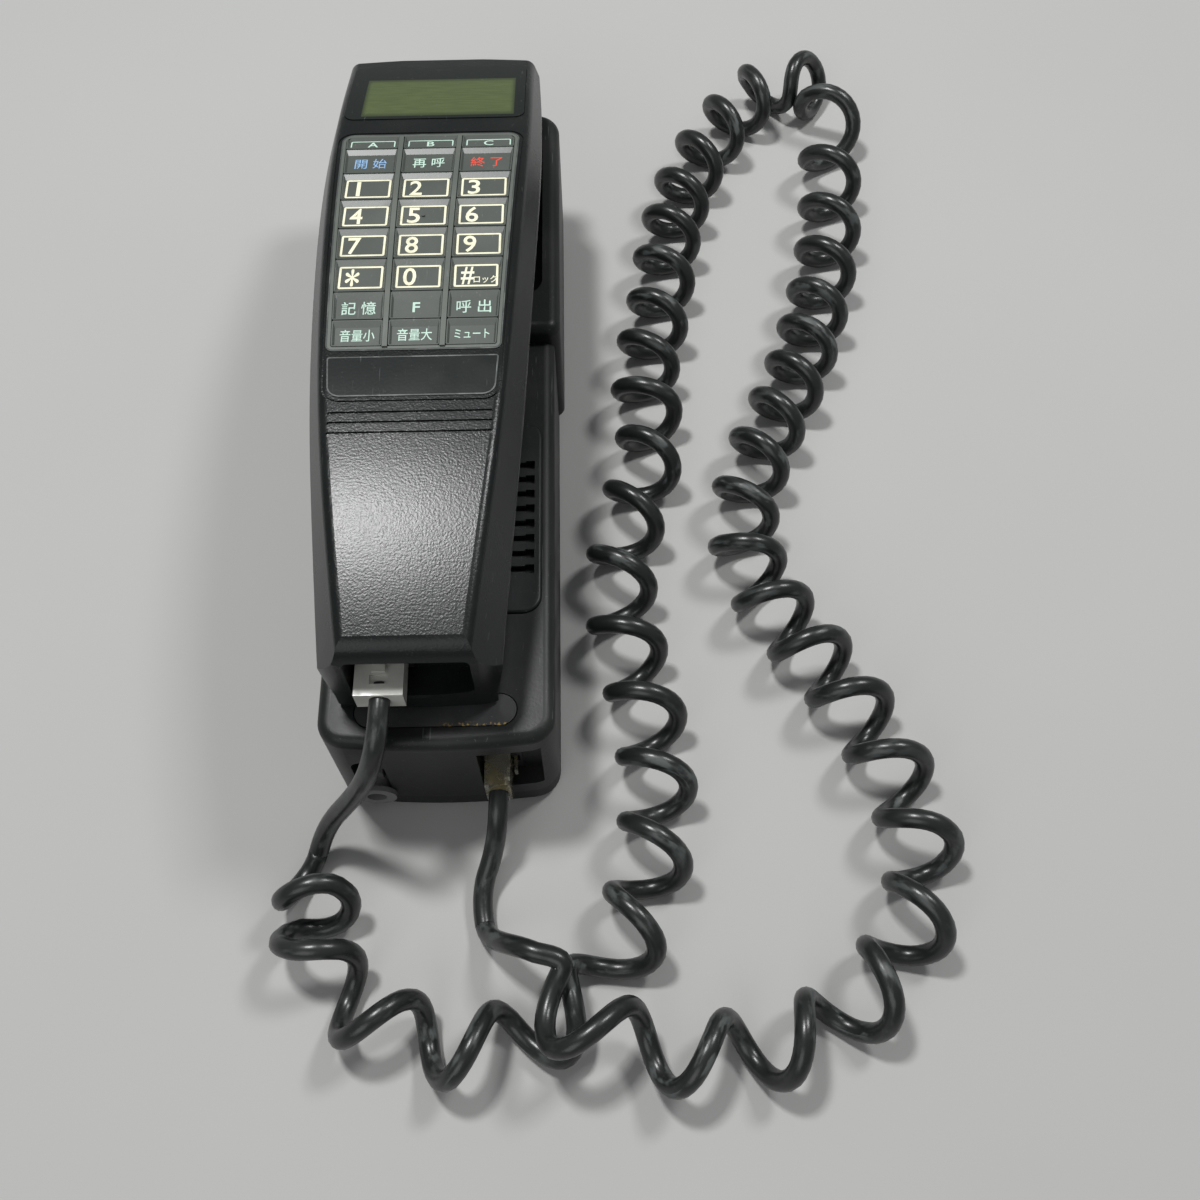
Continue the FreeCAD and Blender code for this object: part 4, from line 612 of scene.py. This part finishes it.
@dataclass
class Keypad:
    """Printed legends of the 24 keys."""

    face: FaceArch
    low: float = -0.0005
    rows: tuple[float, ...] = (0.0093, 0.0093, 0.0116, 0.0116, 0.0116, 0.0116, 0.0116, 0.0071)
    half_low: float = 0.0215
    half_high: float = 0.0247
    border: float = 0.0008
    strip: float = 0.0013
    gap: float = 0.00015
    land: float = 0.0003
    slope_far: float = 0.0015
    slope_near: float = 0.0006
    slope_side: float = 0.00045
    floor: float = -0.0004
    ink: float = 0.00004
    frame_line: float = 0.00058
    thin_line: float = 0.00034
    frame_corner: float = 0.0005
    frame_less: Limits = (0.0003, 0.0008)
    open_less: Limits = (0.0006, 0.0008)
    digit_height: float = 0.0062
    digit_width: float = 0.0034
    digit_inset: float = 0.0035
    star_stretch: float = 1.05
    letter_height: float = 0.0024
    letter_width: float = 0.0030
    letter_stretch: float = 1.25
    letter_drop: float = 0.0002
    word_width: float = 0.0088
    call_height: float = 0.0036
    word_height: float = 0.0034
    small_height: float = 0.0030
    kana_height: float = 0.0026
    extra_size: Limits = (0.0021, 0.0060)
    extra_at: Limits = (0.0024, -0.0014)
    bold: float = 0.012
    bold_letter: float = 0.02
    bold_word: float = 0.006
    capital_share: float = 0.74
    # legends sit towards the far end of the floor, clear of the ridge that hides its near end
    shift: dict[Layout, float] = field(default_factory=lambda: {
        Layout.DIGIT: 0.0003, Layout.OPEN_FRAME: 0.0004, Layout.BARE: 0.0002})

    def legends(self) -> tuple[tuple[KeyLegend, ...], ...]:
        """Legends of each row, from the near row to the far row."""
        digits = (("star", "0", "hash"), ("7", "8", "9"), ("4", "5", "6"), ("1", "2", "3"))
        signs = {"star": "*", "hash": "#"}
        rows = [
            (KeyLegend("volume_down", "音量小", self.small_height),
             KeyLegend("volume_up", "音量大", self.small_height),
             KeyLegend("mute", "ミュート", self.kana_height)),
            (KeyLegend("store", "記 憶", self.word_height),
             KeyLegend("function", "F", self.word_height),
             KeyLegend("recall", "呼 出", self.word_height)),
        ]
        for names in digits:
            rows.append(tuple(
                KeyLegend(name, signs.get(name, name), self.digit_height, Tone.CREAM,
                          Layout.DIGIT, "ロック" if name == "hash" else "")
                for name in names))
        rows.append((KeyLegend("send", "開 始", self.call_height, Tone.BLUE),
                     KeyLegend("redial", "再 呼", self.call_height),
                     KeyLegend("end", "終 了", self.call_height, Tone.RED)))
        rows.append(tuple(KeyLegend(name, name.upper(), self.letter_height,
                                    layout=Layout.OPEN_FRAME) for name in ("a", "b", "c")))
        return tuple(rows)

    def half_at(self, along: float) -> float:
        """Half width of the keypad at a place along the arch."""
        share = (along - self.low) / sum(self.rows)
        return self.half_low + (self.half_high - self.half_low) * share

    def floor_of(self, row: int, column: int) -> tuple[float, float, float, float]:
        """Flat floor of one key's tray.

        Args:
            row: row counted from the near end.
            column: column counted from the left.

        Returns:
            Middle x, middle along, width and length of the floor.
        """
        start = self.low + sum(self.rows[:row])
        last = len(self.rows) - 1
        slope_far = self.slope_far / 2 if self.rows[row] < self.rows[0] else self.slope_far
        near = start + self.gap + self.land + self.slope_near + (self.border if row == 0 else 0)
        far = start + self.rows[row] - self.gap - self.land - slope_far
        far -= self.border if row == last else 0
        middle = (near + far) / 2
        half = self.half_at(middle)
        inset = self.gap + self.land + self.slope_side
        left = (2.0 * column / 3 - 1.0) * half
        right = (2.0 * (column + 1) / 3 - 1.0) * half
        left += inset + (self.border if column == 0 else self.strip / 2)
        right -= inset + (self.border if column == 2 else self.strip / 2)
        return (left + right) / 2, middle, right - left, far - near

    def print_words(self, words: str, height: float, width: float, bold: float,
                    whole_height: bool = False, stretch: float = 1.0, at: Limits = (0.0, 0.0)
                    ) -> Piece:
        """Flat mesh of some words on the flat frame.

        Args:
            words: the letters, figures or sign.
            height: height of the letters.
            width: most that the words may be wide before the stretch.
            bold: share of the height by which strokes are thickened.
            whole_height: make the drawn strokes that tall, not the capitals of the font.
            stretch: sideways stretch.
            at: x and y of their middle.

        Returns:
            The mesh object.
        """
        deselect_all()
        bpy.ops.object.text_add(location=(0, 0, 0))
        text = bpy.context.object
        text.data.body = words
        text.data.size = 1.0
        text.data.offset = bold
        text.data.resolution_u = 3
        bpy.ops.object.convert(target="MESH")
        mesh = bpy.context.object
        xs = [vertex.co.x for vertex in mesh.data.vertices]
        ys = [vertex.co.y for vertex in mesh.data.vertices]
        tall = height / (max(ys) - min(ys) if whole_height else self.capital_share)
        wide = min(tall, width / (max(xs) - min(xs))) * stretch
        middle = Vector(((max(xs) + min(xs)) / 2, (max(ys) + min(ys)) / 2, 0))
        settle(mesh, Matrix.Translation((*at, 0)) @ Matrix.Diagonal((wide, tall, 1.0, 1.0))
               @ Matrix.Translation(-middle))
        return mesh

    def print_frame(self, width: float, length: float, line: float, open_below: bool
                    ) -> Piece:
        """Flat rectangular line with rounded corners.

        Args:
            width: outside width.
            length: outside length.
            line: width of the line.
            open_below: leave the near side of the frame out.

        Returns:
            The mesh object.
        """
        deselect_all()
        bpy.ops.mesh.primitive_plane_add(size=1.0, location=(0, 0, 0))
        plate = bpy.context.object
        settle(plate, Matrix.Diagonal((width, length, 1.0, 1.0)))
        edit_all()
        bpy.ops.mesh.bevel(offset=self.frame_corner, segments=3, affect="VERTICES")
        bpy.ops.mesh.select_all(action="SELECT")
        bpy.ops.mesh.inset(thickness=line, depth=0.0)
        bpy.ops.mesh.delete(type="FACE")
        bpy.ops.object.mode_set(mode="OBJECT")
        if open_below:
            edit_only("FACE", {polygon.index: polygon.center.y < -length / 2 + line
                               for polygon in plate.data.polygons})
            bpy.ops.mesh.delete(type="FACE")
            bpy.ops.object.mode_set(mode="OBJECT")
        return plate

    def print_key(self, legend: KeyLegend, row: int, column: int,
                  inks: dict[Tone, Material]) -> None:
        """Print one key's legend and set it on the key.

        Args:
            legend: what the key says.
            row: row counted from the near end.
            column: column counted from the left.
            inks: material of each tone.
        """
        x, along, width, length = self.floor_of(row, column)
        words, tall = legend.words, legend.height
        if legend.layout is Layout.DIGIT:
            less_x, less_y = self.frame_less
            stretch = self.star_stretch if words == "*" else 1.0
            at = ((less_x - width) / 2 + self.digit_inset, 0.0)
            pieces = [self.print_frame(width - less_x, length - less_y, self.frame_line, False),
                      self.print_words(words, tall, self.digit_width, self.bold, True, stretch,
                                       at)]
            if legend.extra:
                pieces.append(self.print_words(legend.extra, *self.extra_size, self.bold,
                                               at=self.extra_at))
        elif legend.layout is Layout.OPEN_FRAME:
            less_x, less_y = self.open_less
            pieces = [self.print_frame(width - less_x, length - less_y, self.thin_line, True),
                      self.print_words(words, tall, self.letter_width, self.bold, True,
                                       self.letter_stretch, (0.0, -self.letter_drop))]
        else:
            bold = self.bold_word if len(words) > 1 else self.bold_letter
            pieces = [self.print_words(words, tall, self.word_width, bold)]
        for piece in pieces:
            piece.data.materials.clear()
            piece.data.materials.append(inks[legend.tone])
        done = join(pieces, f"legend_{legend.key}")
        settle(done, Matrix.Translation((0, self.shift[legend.layout], 0)))
        settle(done, self.face.frame_at(x, along, self.floor + self.ink))
        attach(done, f"key_{legend.key}")

    def build(self, inks: dict[Tone, Material]) -> int:
        """Print every key and return how many there are."""
        count = 0
        for row, legends in enumerate(self.legends()):
            for column, legend in enumerate(legends):
                self.print_key(legend, row, column, inks)
                count += 1
        return count


@dataclass(frozen=True)
class RimField:
    """Four-sided field on the arched face, with rounded corners.

    near and far hold the place along the arch and the half width there, and corners the radii
    at the near and the far side.
    """

    name: str
    near: Limits
    far: Limits
    corners: Limits


@dataclass
class FaceRims:
    """Thin raised lines that edge the keypad and the blank plate under it, lighter grey as a
    painted highlight.
    """

    face: FaceArch
    line: float = 0.00035
    lift: float = 0.00006
    proud: float = 0.00018
    corner_steps: int = 6
    cuts: int = 24
    fields: tuple[RimField, ...] = (
        RimField("keypad_rim", (-0.0009, 0.0219), (0.0836, 0.0251), (0.0019, 0.0034)),
        RimField("plate_rim", (-0.01455, 0.02055), (-0.00275, 0.02135), (0.0030, 0.0008)),
    )

    def rim(self, spec: RimField, finish: Material) -> None:
        """Raise a line round one field of the arched face.

        Args:
            spec: the field.
            finish: material of the line, a lighter grey that paints its highlight.
        """
        start, end = spec.near[0], spec.far[0]
        deselect_all()
        bpy.ops.mesh.primitive_plane_add(size=2.0, location=(0, 0, 0))
        piece = bpy.context.object
        piece.name = spec.name
        for vertex in piece.data.vertices:
            along, half = spec.near if vertex.co.y < 0 else spec.far
            vertex.co = (math.copysign(half, vertex.co.x), along, 0.0)
        for far_side, radius in zip((False, True), spec.corners):
            edit_only("VERT", {vertex.index: (vertex.co.y > (start + end) / 2) == far_side
                               for vertex in piece.data.vertices})
            bpy.ops.mesh.bevel(offset=radius, segments=self.corner_steps, affect="VERTICES")
            bpy.ops.object.mode_set(mode="OBJECT")
        edit_all()
        bpy.ops.mesh.select_mode(type="FACE")
        bpy.ops.mesh.inset(thickness=self.line, depth=0.0)
        bpy.ops.mesh.delete(type="FACE")
        for step in range(1, self.cuts):
            along = start + (end - start) * step / self.cuts
            bpy.ops.mesh.select_all(action="SELECT")
            bpy.ops.mesh.bisect(plane_co=(0, along, 0), plane_no=(0, 1, 0))
        bpy.ops.mesh.select_all(action="SELECT")
        bpy.ops.mesh.extrude_region_move(TRANSFORM_OT_translate={"value": (0, 0, self.proud)})
        bpy.ops.mesh.select_all(action="SELECT")
        bpy.ops.mesh.normals_make_consistent(inside=False)
        bpy.ops.object.mode_set(mode="OBJECT")
        for vertex in piece.data.vertices:
            place = self.face.frame_at(vertex.co.x, vertex.co.y, self.lift + vertex.co.z)
            vertex.co = place.to_translation()
        piece.data.materials.append(finish)
        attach(piece, "handset")

    def build(self, finish: Material) -> None:
        """Edge the keypad and the plate."""
        for spec in self.fields:
            self.rim(spec, finish)


@dataclass
class CurlyCord:
    """Free cord between the two plugs: two plain leads and the curls between them."""

    wire: float = 0.0026
    curl: float = 0.0082
    floor_gap: float = 0.00025
    steps: int = 26
    sides: int = 14
    line_steps: int = 24
    girth: float = 0.0163
    handset_lead: tuple[Point, ...] = (
        (-0.009565, -0.1001, 0.058), (-0.009565, -0.1115, 0.058), (-0.013, -0.118, 0.047),
        (-0.019, -0.1183, 0.032), (-0.030315, -0.119136, 0.010851),
        (-0.032718, -0.124513, 0.005437),
    )
    cradle_lead: tuple[Point, ...] = (
        (0.011448, -0.144149, 0.00285), (0.00988, -0.136306, 0.002992), (0.0142, -0.1256, 0.009),
        (0.015785, -0.1186, 0.0199), (0.015785, -0.1101, 0.0199),
    )
    # x and y of the route and the curls so far; then, where the curls don't lie flat at their
    # whole height, their rise and the share of their height
    route: tuple[tuple[float, ...], ...] = (
        (-0.0375, -0.1281, 0.12), (-0.033, -0.1341, 0.5), (-0.0295, -0.1406, 1.05),
        (-0.0325, -0.1506, 1.6), (-0.0205, -0.1661, 2.4), (0.004, -0.1771, 3.5),
        (0.03, -0.1721, 4.5, 0.0, 0.45), (0.0495, -0.1506, 5.5, 0.0, 0.85), (0.058, -0.1206, 7.0),
        (0.056, -0.0896, 8.6), (0.048, -0.0596, 10.1), (0.05, -0.0336, 11.3),
        (0.0605, -0.0016, 12.9), (0.057, 0.0224, 14.2), (0.064, 0.0514, 15.9),
        (0.067, 0.0764, 17.3), (0.0745, 0.1064, 19.2), (0.0915, 0.1374, 21.1),
        (0.112, 0.1569, 22.55), (0.128, 0.1454, 23.55), (0.1245, 0.1144, 24.5),
        (0.122, 0.0844, 25.9), (0.116, 0.0554, 27.5), (0.1055, 0.0224, 29.7),
        (0.091, -0.0056, 31.75), (0.083, -0.0346, 33.4), (0.092, -0.0576, 34.8),
        (0.1085, -0.0806, 36.45), (0.122, -0.1086, 38.0), (0.127, -0.1356, 39.35),
        (0.1135, -0.1616, 40.65), (0.092, -0.1756, 41.65), (0.068, -0.1791, 42.7),
        (0.044, -0.1761, 43.6, 0.007, 0.9), (0.0275, -0.1671, 44.25, 0.013, 0.8),
        (0.022, -0.1556, 44.7, 0.009, 0.5), (0.0195, -0.1426, 45.0, 0.0, 0.0),
    )

    def spline_points(self, points: list[Point]) -> list[Vector]:
        """Points along the smooth NURBS line that has the given control points.

        Args:
            points: control points in metres.

        Returns:
            Points read from the evaluated curve.
        """
        curve = bpy.data.curves.new("route", "CURVE")
        curve.dimensions = "3D"
        spline = curve.splines.new("NURBS")
        spline.points.add(len(points) - 1)
        for point, place in zip(spline.points, points):
            point.co = (*place, 1.0)
        spline.order_u = 3
        spline.use_endpoint_u = True
        spline.resolution_u = self.line_steps
        holder = linked("route", curve)
        mesh = bpy.data.meshes.new_from_object(holder)
        places = [vertex.co.copy() for vertex in mesh.vertices]
        bpy.data.objects.remove(holder)
        bpy.data.curves.remove(curve)
        bpy.data.meshes.remove(mesh)
        return places

    def distances(self, line: list[Vector]) -> list[float]:
        """Distance along a line at each of its points."""
        steps = ((after - before).length for before, after in zip(line, line[1:]))
        return list(accumulate(steps, initial=0.0))

    def helix(self) -> list[Vector]:
        """Middle line of the wire through all the curls."""
        line = self.spline_points([(x, y, 0.0) for x, y, *_ in self.route])
        travelled = self.distances(line)
        marks = []
        for x, y, *_ in self.route:
            nearest = min(range(len(line)), key=lambda i: (line[i] - Vector((x, y, 0))).length)
            marks.append(travelled[nearest])
        first = self.route[0][2]
        last = self.route[-1][2]
        total = int(round((last - first) * self.steps))
        places = []
        stage = 0
        spot = 0
        for index in range(total + 1):
            count = first + (last - first) * index / total
            while stage < len(self.route) - 2 and count > self.route[stage + 1][2]:
                stage += 1
            before, rise, share = (*self.route[stage][2:], 0.0, 1.0)[:3]
            after, next_rise, next_share = (*self.route[stage + 1][2:], 0.0, 1.0)[:3]
            part = max(0.0, min(1.0, (count - before) / (after - before)))
            smooth = part * part * (3 - 2 * part)
            rise += smooth * (next_rise - rise)
            share += smooth * (next_share - share)
            distance = marks[stage] + part * (marks[stage + 1] - marks[stage])
            while spot < len(line) - 2 and travelled[spot + 1] < distance:
                spot += 1
            heading = (line[spot + 1] - line[spot]).normalized()
            place = line[spot] + heading * (distance - travelled[spot])
            angle = 2 * math.pi * count
            side = self.curl * math.cos(angle)
            height = self.curl * (1 - math.sin(angle)) * share + rise
            places.append(Vector((place.x - side * heading.y, place.y + side * heading.x,
                                  self.wire + self.floor_gap + height)))
        return places

    def tube(self, name: str, line: list[Vector], finish: Material
             ) -> Piece:
        """Closed round tube round a line.

        Args:
            name: name of the piece.
            line: points that the tube follows.
            finish: its material.

        Returns:
            The mesh object.
        """
        mesh = bpy.data.meshes.new(name)
        made = bmesh.new()
        around = made.loops.layers.uv.new("wire")
        travelled = self.distances(line)
        end = len(line) - 1
        headings = [(line[min(index + 1, end)] - line[max(index - 1, 0)]).normalized()
                    for index in range(len(line))]
        across = headings[0].cross(Vector((0, 0, 1))).normalized()
        turns = [2 * math.pi * side / self.sides for side in range(self.sides)]
        rings = []
        for place, heading in zip(line, headings):
            across = (across - heading * across.dot(heading)).normalized()
            other = heading.cross(across)
            rings.append([made.verts.new(
                place + (across * math.cos(turn) + other * math.sin(turn)) * self.wire)
                for turn in turns])
        for index in range(len(rings) - 1):
            for side in range(self.sides):
                following = (side + 1) % self.sides
                face = made.faces.new((rings[index][side], rings[index][following],
                                       rings[index + 1][following], rings[index + 1][side]))
                face.smooth = True
                spots = ((side, index), (side + 1, index), (side + 1, index + 1),
                         (side, index + 1))
                for loop, (turn, step) in zip(face.loops, spots):
                    loop[around].uv = (travelled[step], turn / self.sides * self.girth)
        made.faces.new(tuple(reversed(rings[0])))
        made.faces.new(tuple(rings[-1]))
        bmesh.ops.recalc_face_normals(made, faces=made.faces)
        made.to_mesh(mesh)
        made.free()
        mesh.materials.append(finish)
        return linked(name, mesh)

    def lay(self, name: str, node: str, line: list[Vector], length: float,
            finish: Material) -> float:
        """Args:
            name: name of the piece.
            node: node whose solid it replaces.
            line: points along its middle.
            length: its real length; not used.
            finish: its material.

        Returns:
            The length of the line.
        """
        piece = self.tube(name, line, finish)
        if node == "cord_handset_lead":
            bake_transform(piece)
        else:
            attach(piece, "cradle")
        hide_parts(node)
        return self.distances(line)[-1]

    def build(self, finish: Material) -> None:
        """Make the leads and the curls, and set the curls and the lead at the cradle on the
        cradle's body.
        """
        curls = self.helix()
        first = self.spline_points(list(self.handset_lead))
        last = self.spline_points(list(self.cradle_lead))
        lengths = (
            self.lay("cord_lead_at_handset", "cord_handset_lead", first,
                     round(self.distances(first)[-1], 3), finish),
            self.lay("cord_in_curls", "cord_curls", curls, 2.481, finish),
            self.lay("cord_lead_at_cradle", "cord_cradle_lead", last,
                     round(self.distances(last)[-1], 3), finish),
        )
        log.info("first lead %.3f m, curls %.3f m, last lead %.3f m", *lengths)


@dataclass(frozen=True)
class Lamp:
    """Soft square lamp, its side in metres and its power in watts."""

    name: str
    place: Point
    aim: Point
    size: float
    power: float

    def build(self) -> None:
        """Hang the lamp and turn it to its aim."""
        data = bpy.data.lights.new(self.name, "AREA")
        data.size = self.size
        data.energy = self.power
        lamp = linked(self.name, data)
        lamp.location = self.place
        heading = Vector(self.aim) - Vector(self.place)
        lamp.rotation_euler = heading.to_track_quat("-Z", "Y").to_euler()


@dataclass
class Studio:
    """Floor, lamps and the camera at the photograph's angle."""

    lens: float = 39.6
    camera_at: Point = (0.042885, -0.2272, 0.345)
    tilt_deg: float = 27.4
    roll_deg: float = -1.146
    floor_radius: float = 4.0
    floor_colour: Colour = (0.42, 0.42, 0.41)
    floor_stain: float = 0.985
    sky_colour: Colour = (0.42, 0.43, 0.44)
    sky_strength: float = 0.5
    lamps: tuple[Lamp, ...] = (
        Lamp("ceiling_lamp", (-0.235, 0.235, 1.12), (0.0, -0.02, 0.05), 0.15, 9.5),
        Lamp("side_lamp", (0.62, 0.34, 1.05), (0.0, 0.0, 0.05), 0.22, 6.0),
        Lamp("front_lamp", (-0.5, -1.1, 0.9), (0.0, 0.0, 0.03), 0.9, 4.0),
    )

    def build_camera(self) -> None:
        """Put the camera where the photograph was taken from."""
        data = bpy.data.cameras.new("camera")
        data.lens = self.lens
        data.sensor_width = 36.0
        data.clip_start = 0.01
        data.clip_end = 50.0
        camera = linked("camera", data)
        turn = Matrix.Rotation(math.radians(self.tilt_deg), 4, "X")
        turn = turn @ Matrix.Rotation(math.radians(self.roll_deg), 4, "Z")
        camera.matrix_world = Matrix.Translation(self.camera_at) @ turn
        bpy.context.scene.camera = camera

    def build_floor(self) -> None:
        """Lay a plain matt floor under the object."""
        deselect_all()
        bpy.ops.mesh.primitive_circle_add(vertices=64, radius=self.floor_radius,
                                          fill_type="NGON", location=(0, 0, 0))
        floor = bpy.context.object
        floor.name = "floor"
        material, tree, sockets = start_material("floor_paint")
        stains = band(tree, noise(tree, own_place(tree), 9.0, 2.0), 0.3, 0.7)
        tree.links.new(mixed(tree, stains, self.floor_colour,
                             dimmed(self.floor_colour, self.floor_stain)),
                       sockets["Base Color"])
        sockets["Roughness"].default_value = 0.85
        sockets["Specular IOR Level"].default_value = 0.2
        floor.data.materials.append(material)

    def build(self) -> None:
        """Make the camera, floor, lamps and sky."""
        self.build_camera()
        self.build_floor()
        for lamp in self.lamps:
            lamp.build()
        world = bpy.data.worlds.new("plain_room")
        world.use_nodes = True
        sky = world.node_tree.nodes["Background"]
        sky.inputs["Color"].default_value = (*self.sky_colour, 1.0)
        sky.inputs["Strength"].default_value = self.sky_strength
        bpy.context.scene.world = world
        bpy.context.scene.view_settings.view_transform = "Standard"


@dataclass
class Dressing:
    """Finish of each carried-over node."""

    effects: SharedEffects = field(default_factory=SharedEffects)

    def finishes(self) -> dict[str, Material]:
        """Build each finish and give it by its name."""
        lens_low, lens_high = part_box("lcd_module")
        cover_low, cover_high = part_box("deck_cover_plate")
        cover_middle = tuple((a + b) / 2 for a, b in zip(cover_low, cover_high))
        made = (
            Moulded("shell_black", (0.006, 0.0075, 0.0075), 0.27, dust=0.04, wear=0.08,
                    grain_scale=1800.0, grain_depth=0.00006, grain_strength=0.85,
                    worn=(0.024, 0.027, 0.027)),
            Moulded("cradle_black", (0.009, 0.011, 0.010), 0.42, dust=0.08, wear=0.25,
                    worn=(0.022, 0.025, 0.023)),
            Moulded("base_black", (0.010, 0.011, 0.011), 0.5, worn=(0.03, 0.03, 0.03)),
            Moulded("grille_black", (0.010, 0.012, 0.012), 0.38, dust=0.08, wear=0.2,
                    worn=(0.024, 0.027, 0.027)),
            Moulded("key_rubber", (0.068, 0.078, 0.070), 0.40, specular=0.6,
                    worn=(0.090, 0.100, 0.090), grain_strength=0.2),
            Moulded("mat_rubber", (0.092, 0.104, 0.092), 0.44, specular=0.6,
                    worn=(0.12, 0.132, 0.12), grain_strength=0.2, dust=0.16),
            Moulded("badge_black", (0.009, 0.011, 0.011), 0.26, dust=0.06, wear=0.2,
                    worn=(0.02, 0.022, 0.022), grain_strength=0.3),
            # rim lines: lighter grey, with lighter worn patches, as a painted highlight along the
            # edges of the keypad and the plate
            Moulded("rim_painted_highlight", (0.055, 0.062, 0.058), 0.30, dust=0.1, wear=0.8,
                    worn=(0.12, 0.13, 0.12), wear_scale=160.0, specular=0.6),
            Moulded("jack_black", (0.022, 0.022, 0.022), 0.5),
            Moulded("gland_grey", (0.17, 0.17, 0.17), 0.6, worn=(0.26, 0.26, 0.25)),
            Moulded("foot_rubber", (0.02, 0.02, 0.02), 0.8),
            Moulded("plunger_black", (0.03, 0.03, 0.032), 0.3),
            Moulded("board_green", (0.03, 0.13, 0.06), 0.4, worn=(0.05, 0.2, 0.09)),
            Moulded("capsule_black", (0.04, 0.04, 0.04), 0.5),
            Moulded("printed_film", (0.45, 0.40, 0.26), 0.5, worn=(0.5, 0.46, 0.32)),
            Moulded("display_green", (0.10, 0.14, 0.06), 0.3, worn=(0.12, 0.16, 0.08)),
            Metal("screw_steel", (0.60, 0.60, 0.62)),
            Metal("speaker_steel", (0.40, 0.40, 0.41), 0.4),
            Metal("insert_brass", (0.74, 0.56, 0.28)),
            Metal("contact_gold", (0.86, 0.66, 0.26), 0.2),
            Clear("plug_clear_handset", tinge=(0.70, 0.70, 0.66), tinge_amount=0.4,
                  clearness=0.5),
            Clear("plug_clear_cradle", colour=(0.80, 0.78, 0.66), tinge_amount=1.0),
            Residue("cover_plate", cover_middle),
            Display("window_gloss", lens_low, lens_high),
            Scuffed("cord_rubber"),
        )
        return {finish.name: finish.build(self.effects) for finish in made}

    def dress(self, made: dict[str, Material]) -> int:
        """Give every carried-over node its finish.

        Args:
            made: the finishes by name.

        Returns:
            How many nodes were dressed.
        """
        chosen = {
            "cradle_shell": "cradle_black", "cradle_base_plate": "base_black",
            "grille_panel": "grille_black", "deck_cover_plate": "cover_plate",
            "cradle_speaker": "speaker_steel", "cradle_circuit_board": "board_green",
            "cradle_jack": "jack_black", "cradle_screws": "screw_steel",
            "rubber_feet": "foot_rubber", "mounting_inserts": "insert_brass",
            "cable_gland": "gland_grey", "hook_plunger": "plunger_black",
            "hook_switch": "capsule_black", "handset_top_shell": "shell_black",
            "handset_bottom_shell": "shell_black", "display_window": "window_gloss",
            "lcd_module": "display_green", "keypad_mat": "mat_rubber",
            "badge_plate": "badge_black", "key_contact_sheet": "printed_film",
            "handset_circuit_board": "board_green", "earpiece_receiver": "capsule_black",
            "microphone": "capsule_black", "handset_screws": "screw_steel",
            "handset_jack": "jack_black", "handset_plug": "plug_clear_handset",
            "handset_plug_contacts": "contact_gold", "cradle_plug": "plug_clear_cradle",
            "cradle_plug_contacts": "contact_gold",
        }
        count = 0
        for name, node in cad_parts.items():
            finish = chosen.get(name, "key_rubber" if name.startswith("key_") else None)
            if finish is None:
                continue
            for slot in node.material_slots:
                slot.link = "OBJECT"
                slot.material = made[finish]
            count += 1
        return count


def main() -> None:
    """Build the scene in order and report each piece."""
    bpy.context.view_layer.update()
    Studio().build()
    log.info("studio built")
    dressing = Dressing()
    made = dressing.finishes()
    CurlyCord().build(made["cord_rubber"])
    log.info("cord built")
    log.info("nodes dressed: %d", dressing.dress(made))
    inks = {tone: Ink(f"ink_{tone.name.lower()}", tone.value).build(dressing.effects)
            for tone in Tone}
    face = FaceArch()
    FaceRims(face).build(made["rim_painted_highlight"])
    log.info("rims built")
    log.info("keys printed: %d", Keypad(face).build(inks))
    deselect_all()


if __name__ == "__main__":
    main()
